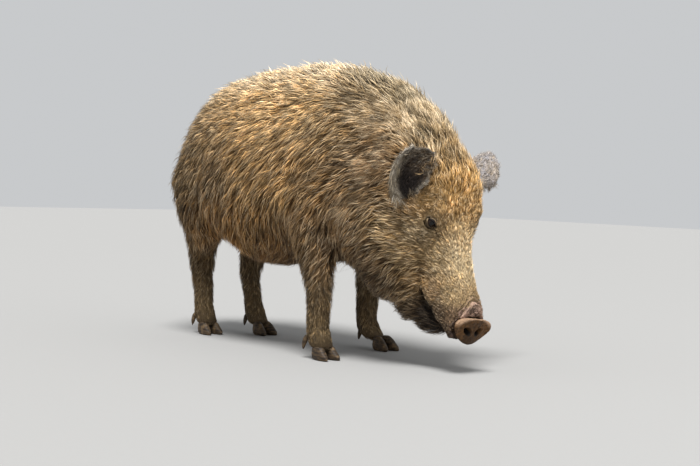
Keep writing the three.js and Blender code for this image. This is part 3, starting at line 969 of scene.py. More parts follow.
    def _dress_ear(
        self, made: dict[str, Array], points: Array, normals: Array, side: str, belongs: Array
    ) -> None:
        """Puts one ear's own pelt over what the map gave for it."""
        ear = EARS[side]
        mine = np.flatnonzero(belongs > 0.02)
        leaf = ear.leaf(self.marks)
        tree = KDTree(len(leaf["place"]))
        for index, spot in enumerate(leaf["place"].tolist()):
            tree.insert(spot, index)
        tree.balance()
        near = np.array([tree.find(spot)[1] for spot in points[mine].tolist()], dtype=int)
        own = {name: values[near] for name, values in leaf.items()}
        spots_here = points[mine]
        inside = ramp(np.sum(normals[mine] * own["facing"], axis=1), -0.15, 0.3)
        rim = np.clip(ramp(own["edge"], 0.7, 0.95) + 0.3 * mottle(spots_here, 0.014, 71), 0.0, 1.0)
        # how deep in the hollow each point is: there the hair is shorter and less frosted, and painted shade
        # darkens it
        deep_in = inside * ramp(own["share"], 0.75, 0.3) * ramp(np.abs(own["over"]), 0.95, 0.35)
        back, rim_tone = np.array(linear(*ear.back)), np.array(linear(*ear.rim))
        back = back * (1.0 + 0.25 * mottle(spots_here, 0.02, 72))[:, None]
        inner = np.array(linear(*self.ear_inside)) * (1.0 + 0.35 * mottle(spots_here, 0.015, 73))[:, None]
        colour = back * (1.0 - inside[:, None]) + inner * inside[:, None]
        colour = colour * (1.0 - rim[:, None]) + rim_tone * rim[:, None]
        # painted shade deep in the hollow
        colour = colour * (1.0 - deep_in[:, None]) + np.array(linear(*self.ear_hollow_shade)) * deep_in[:, None]
        outward_here = own["sideward"] * (own["over"] * ramp(own["edge"], 0.45, 0.9))[:, None]
        lie = unit(0.8 * own["tipward"] + outward_here)
        long = 0.013 + 0.010 * ramp(own["edge"], 0.65, 0.95) * (1.0 - 0.5 * deep_in)
        free = 0.2 + 0.5 * ramp(own["edge"], 0.7, 0.95)
        if ear.fringe:
            hangs = ramp(own["over"], -0.35, -0.8) * ramp(own["share"], 0.62, 0.4)
            lie = unit(lie * (1.0 - hangs)[:, None] + np.array([-0.12, -0.1, -1.0]) * hangs[:, None])
            long = long * (1.0 - hangs) + 0.042 * hangs
            colour = colour * (1.0 - hangs[:, None]) + np.array(linear(176, 164, 144)) * hangs[:, None]
        if ear.fringe:
            self._paint_hollow_shade(made, points, ear)
        share = belongs[mine]
        for name, values in {
            "pelt": colour,
            "lie": lie,
            "long": long,
            "deep": np.full(len(mine), 0.0003),
            "frost": np.clip(0.3 + 0.6 * rim - 0.6 * deep_in, 0.0, 1.0),
            "free": free,
        }.items():
            held = share[:, None] if values.ndim > 1 else share
            made[name][mine] = made[name][mine] * (1.0 - held) + values * held


    def _paint_hollow_shade(self, made: dict[str, Array], points: Array, ear: Ear) -> None:
        """Paints shade on the head's own skin at the bottom of an ear's hollow, and makes it short of hair.
        """
        first, second, third = (value / 1000.0 for value in ear.root)
        rise = unit(np.array(ear.axis))
        front = across_plane(np.array(ear.mouth), rise)
        away = points - self.marks.place(first, second, third)
        up, out = away @ rise, away @ front
        aside = away @ np.cross(rise, front)
        share = ramp(up, 0.0, 0.02) * ramp(up, 0.13, 0.11)
        share = share * ramp(out, -0.014, -0.002) * ramp(out, 0.056, 0.042)
        share = (share * ramp(np.abs(aside), 0.05, 0.038))[:, None]
        made["pelt"] = made["pelt"] * (1.0 - share) + np.array(linear(*self.ear_hollow_shade)) * share
        made["long"] = made["long"] * (1.0 - share[:, 0]) + 0.008 * share[:, 0]
        made["frost"] = made["frost"] * (1.0 - share[:, 0])


# ---- the modeller's strokes ----------------------------------------------------------------------


@dataclass(frozen=True)
class Press:
    """A soft push of the skin at one place, in millimetres, as a thumb gives clay."""

    place: tuple[float, float, float]
    push: tuple[float, float, float]
    reach: float
    measure: Measure = Measure.STANCE

    def moves(self, marks: Landmarks, place: Array) -> Array:
        """How far the stroke moves each vertex, on both sides of the sow."""
        made = np.zeros_like(place)
        for side in (1.0, -1.0):
            first, second, third = (value / 1000.0 for value in self.place)
            if self.measure is Measure.HEAD:
                centre = marks.place(first, second, side * third)
                along, over, left = (value / 1000.0 for value in self.push)
                push = along * marks.along + over * marks.over + np.array([0.0, side * left, 0.0])
            else:
                centre = marks.stance + np.array([first, side * second, third])
                push = np.array(self.push) / 1000.0 * np.array([1.0, side, 1.0])
            share = np.exp(-np.sum((place - centre) ** 2, axis=1) / (self.reach / 1000.0) ** 2)
            made += share[:, None] * push
        return made


@dataclass(frozen=True)
class Folds:
    """The wrinkles that cross the top of the snout behind its disc."""

    first: float = -0.036
    last: float = -0.003
    step: float = 0.0088
    high: float = 0.0027

    def lift(self, marks: Landmarks, place: Array) -> Array:
        """How far each vertex is lifted along its normal."""
        along, over, left = marks.on_head(place)
        wander = 0.003 * mottle(place, 0.03, 41) + 0.0025 * np.cos(left / 0.05 * math.pi)
        ahead = marks.ahead(place)
        wave = np.cos((ahead + wander) / self.step * 2.0 * math.pi)
        held = ramp(ahead, self.first, self.first + 0.018) * ramp(ahead, self.last, self.last - 0.006)
        held *= ramp(over, -0.085, -0.05)
        creases = 0.0009 * mottle(place, 0.007, 43) * ramp(along, 0.3, 0.36)
        return self.high * held * np.sign(wave) * np.abs(wave) ** 0.7 + creases


@dataclass(frozen=True)
class Lids:
    """The lids round an eye: an almond opening in a skin that is drawn over the eyeball."""

    half_long: float = 0.0122
    upper: float = 0.0076
    lower: float = 0.0064
    thick: float = 0.0022
    spread: float = 0.020
    sink: float = 0.003

    def frame(
        self, marks: Landmarks, side: str, place: Array, normals: Array
    ) -> tuple[Array, Array, Array, Array]:
        """The eye's own frame.

        Args:
            marks: The sow's landmarks.
            side: Which eye.
            place: The skin's vertices.
            normals: The skin's normals.

        Returns:
            Where the eye looks, its long way, its short way, and each vertex's place in that frame.
        """
        centre = marks.eyes[side]
        near = np.linalg.norm(place - centre, axis=1) < 0.034
        gaze = unit(normals[near].mean(axis=0))
        long_way = across_plane(marks.along + 0.25 * marks.over, gaze)
        short_way = np.cross(gaze, long_way)
        if short_way @ marks.over < 0.0:
            short_way = -short_way
        away = place - centre + gaze * self.sink
        return gaze, long_way, short_way, np.column_stack([away @ long_way, away @ short_way, away @ gaze])

    def edge(self, own: Array) -> Array:
        """How far outside the opening each place is, negative inside it."""
        share = np.clip(own[:, 0] / self.half_long, -1.0, 1.0)
        high = np.where(own[:, 1] > 0.0, self.upper, self.lower) * (1.0 - share**2) ** 0.75
        beyond = np.maximum(np.abs(own[:, 0]) - self.half_long, 0.0)
        return np.where(beyond > 0.0, np.hypot(beyond, own[:, 1]), np.abs(own[:, 1]) - high)

    def shape(self, marks: Landmarks, place: Array, normals: Array) -> Array:
        """Draws the lids over both eyes."""
        made = place.copy()
        for side in SIDES:
            gaze, long_way, short_way, own = self.frame(marks, side, made, normals)
            away = np.hypot(own[:, 0], own[:, 1])
            near = (away < self.spread * 1.25) & (own[:, 2] > -0.02) & (own[:, 2] < 0.035)
            over = marks.eye_radius + self.thick
            dome = np.sqrt(np.maximum(over**2 - away**2, 0.0))
            edge = self.edge(own)
            crease = 0.0011 * np.exp(-(((edge - 0.0062) / 0.0012) ** 2)) * (own[:, 1] > -0.002)
            bag = 0.0008 * np.exp(-(((edge - 0.0075) / 0.0022) ** 2)) * (own[:, 1] < 0.0)
            dome = np.where(away < over * 0.985, dome, own[:, 2]) - crease + bag
            share = ramp(away, self.spread * 1.15, over * 0.8)
            high = own[:, 2] * (1.0 - share) + np.maximum(dome, own[:, 2] - 0.004) * share
            sunk = np.sqrt(np.maximum((marks.eye_radius - 0.003) ** 2 - away**2, 0.0)) - 0.001
            high = np.where(edge < 0.0, sunk, high)
            centre = marks.eyes[side] - gaze * self.sink
            lifted = centre + own[:, :1] * long_way + own[:, 1:2] * short_way + high[:, None] * gaze
            made[near] = lifted[near]
        return made

    def paint(self, marks: Landmarks, place: Array, normals: Array, fields: dict[str, Array]) -> None:
        """Darkens the lids' rims and the tear line, leaves a pale fold behind them, and paints shade below
        the eye and in the crease beyond that fold.
        """
        dark, pale = np.array(linear(30, 24, 21)), np.array(linear(150, 137, 118))
        for side in SIDES:
            _, _, _, own = self.frame(marks, side, place, normals)
            close = np.abs(own[:, 2]) < 0.03
            edge = self.edge(own)
            upper = ramp(own[:, 1] - 0.8 * own[:, 0], -0.004, 0.008)
            # painted shade on the lower, front side of the eye, out to about a centimetre beyond the lids
            under = 0.8 * (1.0 - upper) * ramp(edge, 0.0115, 0.0085)
            rim = np.maximum(ramp(edge, 0.0034, 0.002), under) * close
            # a painted line of shade in the crease beyond the pale fold
            rim = np.maximum(rim, 0.6 * upper * np.exp(-(((edge - 0.009) / 0.0016) ** 2)) * close)
            fold = np.exp(-(((edge - 0.0052) / 0.0018) ** 2)) * upper * close
            down = own[:, 0] - self.half_long
            tear = ramp(np.abs(own[:, 1] - 0.003 + 0.12 * down), 0.0034, 0.0014) * ramp(down, -0.006, -0.002)
            tear *= ramp(down, 0.03, 0.018) * close
            # the lids' dark rims, the tear line and the painted shade round the eye
            rim_tear_and_shade = np.maximum(rim, tear)[:, None]
            fields["pelt"][:] = fields["pelt"] * (1.0 - fold[:, None]) + pale * fold[:, None]
            fields["pelt"][:] = fields["pelt"] * (1.0 - rim_tear_and_shade) + dark * rim_tear_and_shade
            bald = np.maximum(ramp(edge, 0.0105, 0.008) * close, 0.9 * tear)
            fields["bare"][:] = np.maximum(fields["bare"], bald)


# ---- the skin ------------------------------------------------------------------------------------


FLESH = (
    "trunk",
    "neck",
    "head",
    "lower_jaw",
    "tail",
    "ear_right",
    "ear_left",
    *(f"{part}_{leg}" for leg in LEGS[:2] for part in ("upper_arm", "forearm", "cannon", "pastern")),
    *(f"{part}_{leg}" for leg in LEGS[2:] for part in ("thigh", "gaskin", "cannon", "pastern")),
)


@dataclass
class Skin:
    """The one skin under the coat."""

    pelt: Pelt
    effects: Effects
    voxel: float = 0.0032
    faces: int = 96_000
    dock_depth: float = 0.0025
    ear_growth: float = 0.0014
    lids: Lids = Lids()
    folds: Folds = Folds()
    flare: float = 0.98
    strokes: tuple[Press, ...] = (
        # the flank's fold in front of the thigh, and the tuck of the belly behind the elbow
        Press((100, 158, 258), (0, -8, 42), 48),
        Press((94, 60, 245), (0, 0, 38), 56),
        Press((90, 0, 240), (0, 0, 22), 60),
        Press((8, 140, 268), (34, 4, -4), 44),
        Press((-40, 30, 262), (0, 0, 40), 75),
        Press((265, 60, 230), (0, 0, 12), 70),
        Press((40, 150, 300), (34, 6, 0), 52),
        Press((20, 150, 350), (16, 6, 0), 60),
        # the upper lip hangs over the jaw, and bulges at the corner of the mouth
        Press((335, -112, 44), (0, -13, 4), 30, Measure.HEAD),
        Press((290, -108, 46), (0, -14, 5), 28, Measure.HEAD),
        Press((255, -112, 48), (0, -12, 7), 24, Measure.HEAD),
        Press((225, -138, 34), (4, 4, 10), 30, Measure.HEAD),
        # the hollow below the eye, and the brow's ridge above it
        Press((168, -48, 72), (0, -2, -4), 26, Measure.HEAD),
        Press((104, 2, 66), (0, 4, 3), 18, Measure.HEAD),
    )
    piece: bpy.types.Object = field(init=False)
    owners: Array = field(init=False)
    fields: dict[str, Array] = field(init=False)

    def make(self) -> None:
        """Draws the skin over the solids of flesh, takes it in by the depth of the coat and dresses it."""
        flesh = self._solids()
        self.piece = merged_copy("skin", FLESH, {"ear_right": self.ear_growth, "ear_left": self.ear_growth})
        self._root_tail()
        with_modifier(self.piece, "REMESH", mode="VOXEL", voxel_size=self.voxel)
        self._keep_outer_shell()
        mesh = self.piece.data
        place, pairs = spots(mesh), edge_pairs(mesh)
        place = relaxed(place, pairs, 5)
        move_spots(mesh, place)
        owners = self._owners(flesh, place)
        deep = self.pelt.read(place, outward(mesh), self._ear_shares(owners, pairs))["deep"]
        deep = np.minimum(spread(deep, pairs, 12), 0.3 * self._thickness(place))
        deep *= 1.0 - ramp(self.pelt.marks.ahead(place), -0.05, -0.02) * ramp(place[:, 2], 0.26, 0.22)
        dock = np.clip(2.2 * spread((owners == FLESH.index("tail")).astype(np.float64), pairs, 40), 0.0, 1.0)
        deep = spread(deep, pairs, 4) * (1.0 - dock) + self.dock_depth * dock
        normals = unit(spread(outward(mesh), pairs, 3))
        move_spots(mesh, place - normals * deep[:, None])
        self._fill_mouth()
        with_modifier(self.piece, "REMESH", mode="VOXEL", voxel_size=self.voxel)
        self._keep_outer_shell()
        mesh = self.piece.data
        move_spots(mesh, relaxed(spots(mesh), edge_pairs(mesh), 6))
        self._thin_out(flesh)
        self._sculpt()
        self._survey(flesh)
        material = SkinFinish("skin_finish").make(self.effects)
        dressed(self.piece, material, "coat", *FLESH)

    @staticmethod
    def _solids() -> tuple[BVHTree, list[str]]:
        """A search tree over the flesh solids' faces, and the node that each face is of."""
        corners, faces, names = [], [], []
        for node in FLESH:
            mesh = bpy.data.objects[node].data
            first = len(corners)
            corners.extend(vertex.co.copy() for vertex in mesh.vertices)
            for face in mesh.polygons:
                faces.append([first + index for index in face.vertices])
                names.append(node)
        return BVHTree.FromPolygons(corners, faces), names

    @staticmethod
    def _owners(flesh: tuple[BVHTree, list[str]], place: Array) -> Array:
        """The number in FLESH of the solid nearest to each place."""
        tree, names = flesh
        number = {node: index for index, node in enumerate(FLESH)}
        return np.array([number[names[tree.find_nearest(spot)[2]]] for spot in place.tolist()])

    def _root_tail(self) -> None:
        """Joins the tail's root to the rump with a ball of flesh."""
        low, high = (np.array(corner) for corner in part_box("tail"))
        centre = np.array([high[0] - 0.012, (low[1] + high[1]) / 2.0 - 0.004, high[2] - 0.024])
        self._add_flesh(centre, np.eye(3), (0.019, 0.019, 0.019))

    def _fill_mouth(self) -> None:
        """Closes the way through the mouth behind its corners."""
        marks, slope = self.pelt.marks, math.radians(12.0)
        line = math.cos(slope) * marks.along + math.sin(slope) * marks.over
        left = np.array([0.0, 1.0, 0.0])
        ways = np.array([line, left, np.cross(line, left)])
        self._add_flesh(marks.place(0.264, -0.132), ways, (0.048, 0.026, 0.026))

    def _add_flesh(self, centre: Array, ways: Array, reach: tuple[float, float, float]) -> None:
        """Adds an egg of flesh, which the next remesh joins to the skin.

        Args:
            centre: Its middle.
            ways: Its three directions, one in each row.
            reach: How far it goes in each of them.
        """
        form = bmesh.new()
        form.from_mesh(self.piece.data)
        egg = bmesh.ops.create_icosphere(form, subdivisions=3, radius=1.0)
        shape = Matrix((ways * np.array(reach)[:, None]).T.tolist()).to_4x4()
        bmesh.ops.transform(form, verts=egg["verts"], matrix=Matrix.Translation(centre.tolist()) @ shape)
        form.to_mesh(self.piece.data)
        form.free()

    def _sculpt(self) -> None:
        """Works the mouth, the snout's folds and the eyelids into the skin."""
        marks = self.pelt.marks
        self._refine(0.045, 0.30)
        self._refine(0.023, 0.35)
        mesh = self.piece.data
        place = spots(mesh)
        place = place + sum(stroke.moves(marks, place) for stroke in self.strokes)
        place = self._flared(place)
        move_spots(mesh, place)
        place = place + outward(mesh) * self.folds.lift(marks, place)[:, None]
        move_spots(mesh, place)
        normals = unit(spread(outward(mesh), edge_pairs(mesh), 6))
        move_spots(mesh, self.lids.shape(marks, place, normals))

    def _flared(self, place: Array) -> Array:
        """Widens the muzzle's end to the disc's rim."""
        middle, facing = self.pelt.marks.snout_end()
        left = across_plane(np.array([0.0, 1.0, 0.0]), facing)
        high = np.cross(facing, left)
        away = place - middle
        wide, tall, ahead = away @ left, away @ high, away @ facing
        ring = np.maximum(np.hypot(wide / 0.056, (tall - 0.002) / 0.034), 0.05)
        share = ramp(ahead, -0.045, -0.014) * ramp(ring, 0.35, 0.6)
        share = share * (np.abs(ahead) < 0.06) * (ring < self.flare)
        grown = 1.0 + share * (self.flare / ring - 1.0)
        flat = wide[:, None] * left + tall[:, None] * high
        return place + flat * (grown - 1.0)[:, None]

    def _refine(self, round_eye: float, beyond: float) -> None:
        """Halves the edges round the eyes and on the snout.

        Args:
            round_eye: How far from an eye's middle.
            beyond: From how far along the head.
        """
        form = bmesh.new()
        form.from_mesh(self.piece.data)
        form.verts.ensure_lookup_table()
        place = np.array([vert.co for vert in form.verts])
        along, over, left = self.pelt.marks.on_head(place)
        inside = (along > beyond) & (np.abs(left) < 0.07) & (over > -0.13)
        for centre in self.pelt.marks.eyes.values():
            inside |= np.linalg.norm(place - centre, axis=1) < round_eye
        chosen = [edge for edge in form.edges if inside[edge.verts[0].index] and inside[edge.verts[1].index]]
        bmesh.ops.subdivide_edges(form, edges=chosen, cuts=1, use_grid_fill=True)
        bmesh.ops.triangulate(form, faces=[face for face in form.faces if len(face.verts) > 4])
        form.to_mesh(self.piece.data)
        form.free()

    def _thickness(self, place: Array) -> Array:
        """How thick the body is under each vertex."""
        tree = BVHTree.FromObject(self.piece, bpy.context.evaluated_depsgraph_get())
        normals = outward(self.piece.data)
        starts = place - normals * 0.0005
        made = np.full(len(place), 1.0)
        for index, (start, way) in enumerate(zip(starts.tolist(), (-normals).tolist(), strict=True)):
            distance = tree.ray_cast(start, way, 0.3)[3]
            if distance is not None:
                made[index] = distance
        return made

    @staticmethod
    def _ear_shares(owners: Array, pairs: Array) -> dict[str, Array]:
        """How far each vertex belongs to each ear, softened at the roots."""
        made = {}
        for side in SIDES:
            mine = (owners == FLESH.index(f"ear_{side}")).astype(np.float64)
            made[side] = spread(mine, pairs, 3)
        return made

    def _keep_outer_shell(self) -> None:
        """Drops every loose shell but the biggest."""
        form = bmesh.new()
        form.from_mesh(self.piece.data)
        form.verts.ensure_lookup_table()
        unseen, shells = set(form.verts), []
        while unseen:
            start = unseen.pop()
            shell, edge = [start], [start]
            while edge:
                for link in edge.pop().link_edges:
                    for vert in link.verts:
                        if vert in unseen:
                            unseen.remove(vert)
                            shell.append(vert)
                            edge.append(vert)
            shells.append(shell)
        shells.sort(key=len)
        loose = [vert for shell in shells[:-1] for vert in shell]
        if loose:
            bmesh.ops.delete(form, geom=loose, context="VERTS")
        form.to_mesh(self.piece.data)
        form.free()

    def _thin_out(self, flesh: tuple[BVHTree, list[str]]) -> None:
        """Joins small faces where the skin is plain, and keeps them on the head and ears."""
        mesh = self.piece.data
        owners = self._owners(flesh, spots(mesh))
        fine = np.isin(owners, [FLESH.index(node) for node in ("head", "lower_jaw", "ear_right", "ear_left")])
        weight = 1.0 - 0.85 * spread(fine.astype(np.float64), edge_pairs(mesh), 4)
        group = self.piece.vertex_groups.new(name="plain")
        for step in range(11):
            near = np.flatnonzero(np.round(weight * 10.0).astype(int) == step)
            group.add(near.tolist(), step / 10.0, "REPLACE")
        count = sum(len(face.vertices) - 2 for face in mesh.polygons)
        ratio = min(1.0, self.faces / count)
        with_modifier(self.piece, "DECIMATE", ratio=ratio, vertex_group="plain", vertex_group_factor=1.0)
        self.piece.vertex_groups.clear()

    def _survey(self, flesh: tuple[BVHTree, list[str]]) -> None:
        """Reads the pelt at each vertex, and keeps what the coat and the finish need."""
        mesh = self.piece.data
        place, pairs = spots(mesh), edge_pairs(mesh)
        self.owners = self._owners(flesh, place)
        self.fields = self.pelt.read(place, outward(mesh), self._ear_shares(self.owners, pairs))
        self.fields["bare"] = np.zeros(len(place))
        normals = unit(spread(outward(mesh), pairs, 6))
        self._paint_snout(place)
        self.lids.paint(self.pelt.marks, place, normals, self.fields)
        set_attribute(mesh, "pelt", self.fields["pelt"])
        set_attribute(mesh, "bare", self.fields["bare"])

    def _paint_snout(self, place: Array) -> None:
        """Gives the snout's end its bare, dusty folds, with painted shade in their grooves, and darkens the
        pelt in specks on the muzzle.
        """
        along, over, left = self.pelt.marks.on_head(place)
        ahead = self.pelt.marks.ahead(place)
        near = np.hypot(left, over + 0.058) < 0.1
        bare = ramp(ahead + 0.006 * mottle(place, 0.016, 54), -0.023, -0.008) * ramp(over, -0.15, -0.1) * near
        pink = np.array(linear(178, 148, 130)) * (0.95 + 0.15 * mottle(place, 0.009, 51))[:, None]
        grey = np.array(linear(98, 80, 72)) * (1.0 + 0.25 * mottle(place, 0.012, 52))[:, None]
        top = ramp(over, -0.06, -0.035)[:, None]
        # painted shade in the grooves between the snout's folds
        fold_shade = ramp(self.folds.lift(self.pelt.marks, place), 0.0006, -0.0018)[:, None]
        skin = (grey * (1.0 - top) + pink * top) * (1.0 - 0.75 * fold_shade)
        speck = ramp(mottle(place, 0.012, 53), 0.15, 0.5) * ramp(along, 0.3, 0.34) * 0.55
        self.fields["pelt"] *= (1.0 - speck)[:, None]
        self.fields["pelt"] = self.fields["pelt"] * (1.0 - bare[:, None]) + skin * bare[:, None]
        self.fields["bare"] = np.maximum(self.fields["bare"], 0.85 * bare)


# ---- the coat ------------------------------------------------------------------------------------


@dataclass(frozen=True)
class Tract:
    """One piece of the coat, and where it grows."""

    name: str
    nodes: tuple[str, ...]
    tufts: int
    side: int = 0
    front: int = 0
    clump: float = 0.0078
    width: float = 0.0014
    lift: float = 0.0
    vary: float = 1.0
    slot: str = "coat"


FORE = tuple(leg for leg in LEGS if leg.startswith("fore"))
HIND = tuple(leg for leg in LEGS if leg.startswith("hind"))
BODY_NODES = ("trunk", *(f"upper_arm_{leg}" for leg in FORE), *(f"thigh_{leg}" for leg in HIND))


@dataclass
class Coat:
    """All the tufts, in tracts."""

    skin: Skin
    effects: Effects
    middle: float = 0.2
    patch: float = 0.003
    tracts: tuple[Tract, ...] = (
        *(
            Tract(f"coat_body_{side}_{end}", BODY_NODES, 15_000, sign, half)
            for side, sign in (("left", 1), ("right", -1))
            for end, half in (("rear", -1), ("front", 1))
        ),
        Tract("coat_neck_left", ("neck",), 10_500, 1),
        Tract("coat_neck_right", ("neck",), 10_500, -1),
        Tract(
            "coat_head_left",
            ("head", "lower_jaw"),
            17_500,
            1,
            clump=0.0058,
            width=0.0012,
            slot="face_coat",
        ),
        Tract(
            "coat_head_right",
            ("head", "lower_jaw"),
            17_500,
            -1,
            clump=0.0058,
            width=0.0012,
            slot="face_coat",
        ),
        Tract(
            "coat_forelegs",
            tuple(f"{part}_{leg}" for leg in FORE for part in ("forearm", "cannon", "pastern")),
            9_500,
            clump=0.0055,
            width=0.0013,
            lift=0.0012,
            slot="leg_coat",
        ),
        Tract(
            "coat_hind_legs",
            tuple(f"{part}_{leg}" for leg in HIND for part in ("gaskin", "cannon", "pastern")),
            9_500,
            clump=0.0055,
            width=0.0013,
            lift=0.0012,
            slot="leg_coat",
        ),
        Tract(
            "coat_ears",
            ("ear_left", "ear_right"),
            13_500,
            clump=0.005,
            width=0.001,
            lift=0.004,
            vary=0.45,
            slot="ear_hair",
        ),
        Tract("coat_tail", ("tail",), 900, clump=0.008, width=0.0015),
    )

    def make(self) -> list[bpy.types.Object]:
        """Grows every tract."""
        material = BristleFinish("bristle_finish").make(self.effects)
        mesh = self.skin.piece.data
        tree = BVHTree.FromObject(self.skin.piece, bpy.context.evaluated_depsgraph_get())
        surface = Surface.read(mesh, tree)
        made = []
        for number, tract in enumerate(self.tracts):
            faces = self._faces(tract, surface)
            log.info("%s grows on %d faces", tract.name, len(faces))
            made.append(self._grow(tract, surface, faces, material, np.random.default_rng(SEED + number)))
        return made

    def _faces(self, tract: Tract, surface: Surface) -> Array:
        """Which of the skin's triangles the tract grows on."""
        numbers = [FLESH.index(node) for node in tract.nodes]
        mine = np.isin(self.skin.owners[surface.corners[:, 0]], numbers)
        centre = surface.place[surface.corners].mean(axis=1)
        if tract.side:
            mine &= centre[:, 1] * tract.side >= 0.0
        if tract.front:
            ahead = centre[:, 0] - self.skin.pelt.marks.stance[0] - self.middle
            mine &= ahead * tract.front >= 0.0
        return np.flatnonzero(mine)

    def _grow(
        self,
        tract: Tract,
        surface: Surface,
        faces: Array,
        material: bpy.types.Material,
        draw: np.random.Generator,
    ) -> bpy.types.Object:
        """Grows one tract.

        Args:
            tract: The tract.
            surface: The skin as arrays.
            faces: The triangles it grows on.
            material: The coat's material.
            draw: The tract's own source of chance.

        Returns:
            The finished piece.
        """
        unwrapped = surface.unwrap(faces)
        fields = self.skin.fields
        corners = surface.corners[faces]
        long_here = fields["long"][corners].mean(axis=1)
        bare_here = fields["bare"][corners].mean(axis=1)
        wanted = surface.area[faces] * np.clip(0.03 / long_here, 0.45, 2.2) * (1.0 - bare_here)
        chosen = draw.choice(len(faces), tract.tufts, p=wanted / wanted.sum())
        inner = draw.random((tract.tufts, 2))
        over = inner.sum(axis=1) > 1.0
        inner[over] = 1.0 - inner[over]
        share = np.column_stack([1.0 - inner.sum(axis=1), inner])

        def blend(values: Array) -> Array:
            """The corners' values, mixed by each root's shares."""
            picked = values[corners[chosen]]
            return np.einsum("nc,nc...->n...", share, picked)

        root = blend(surface.place)
        normal = unit(blend(surface.normals))
        patch_corner = np.einsum("nc,ncd->nd", share, unwrapped[chosen])
        tufts = Tufts(
            root=root,
            normal=normal,
            lie=across_plane(blend(fields["lie"]), normal),
            long=blend(fields["long"]),
            deep=blend(fields["deep"]) + tract.lift,
            free=blend(fields["free"]),
            frost=blend(fields["frost"]),
            pelt=blend(fields["pelt"]),
            patch_corner=patch_corner,
        )
        tufts.gather(tract.clump, float((surface.area[faces] * (1.0 - bare_here)).sum()), tract.vary, draw)
        tufts.comb(surface.tree, tract.width, draw)
        mesh = tufts.mesh(tract.name, self.patch)
        return dressed(linked(tract.name, mesh), material, tract.slot)


@dataclass(frozen=True)
class Surface:
    """The skin as arrays of triangles."""

    mesh: bpy.types.Mesh
    tree: BVHTree
    place: Array
    normals: Array
    corners: Array
    area: Array

    @classmethod
    def read(cls, mesh: bpy.types.Mesh, tree: BVHTree) -> Surface:
        """Reads a mesh."""
        mesh.calc_loop_triangles()
        corners = np.empty(len(mesh.loop_triangles) * 3, dtype=np.int32)
        mesh.loop_triangles.foreach_get("vertices", corners)
        corners = corners.reshape(-1, 3)
        place = spots(mesh)
        sides = place[corners]
        area = np.linalg.norm(np.cross(sides[:, 1] - sides[:, 0], sides[:, 2] - sides[:, 0]), axis=1) / 2.0
        return cls(mesh, tree, place, outward(mesh), corners, area)

    def unwrap(self, faces: Array) -> Array:
        """Unwraps some of the triangles on their own.

        Args:
            faces: Which triangles.

        Returns:
            The place of each triangle's three corners in the unwrap.
        """
        used, corners = np.unique(self.corners[faces], return_inverse=True)
        corners = corners.reshape(-1, 3)
        sheet = array_mesh("unwrap", self.place[used], corners)
        piece = linked("unwrap", sheet)
        bpy.context.view_layer.objects.active = piece
        for other in bpy.context.selected_objects:
            other.select_set(False)
        piece.select_set(True)
        bpy.ops.object.mode_set(mode="EDIT")
        bpy.ops.mesh.select_all(action="SELECT")
        bpy.ops.uv.smart_project(angle_limit=math.radians(66.0), island_margin=0.002)
        bpy.ops.object.mode_set(mode="OBJECT")
        flat = np.empty(len(corners) * 6, dtype=np.float32)
        sheet.uv_layers.active.data.foreach_get("uv", flat)
        bpy.data.objects.remove(piece)
        bpy.data.meshes.remove(sheet)
        return flat.reshape(-1, 3, 2).astype(np.float64)


def array_mesh(name: str, place: Array, corners: Array) -> bpy.types.Mesh:
    """A mesh of triangles from arrays."""
    mesh = bpy.data.meshes.new(name)
    mesh.vertices.add(len(place))
    mesh.vertices.foreach_set("co", np.ascontiguousarray(place, dtype=np.float32).ravel())
    mesh.loops.add(corners.size)
    mesh.loops.foreach_set("vertex_index", np.ascontiguousarray(corners, dtype=np.int32).ravel())
    mesh.polygons.add(len(corners))
    mesh.polygons.foreach_set("loop_start", np.arange(0, corners.size, 3, dtype=np.int32))
    mesh.update(calc_edges=True)
    return mesh


TUFT_FACES = np.array(
    [
        (0, 2, 1),
        (0, 1, 4),
        (0, 4, 3),
        (1, 2, 5),
        (1, 5, 4),
        (2, 0, 3),
        (2, 3, 5),
        (3, 4, 6),
        (4, 5, 6),
        (5, 3, 6),
    ]
)
TUFT_PATCH = np.array([(0.0, 0.0), (0.5, 0.0), (1.0, 0.0), (0.2, 0.5), (0.5, 0.5), (0.8, 0.5), (0.5, 1.0)])


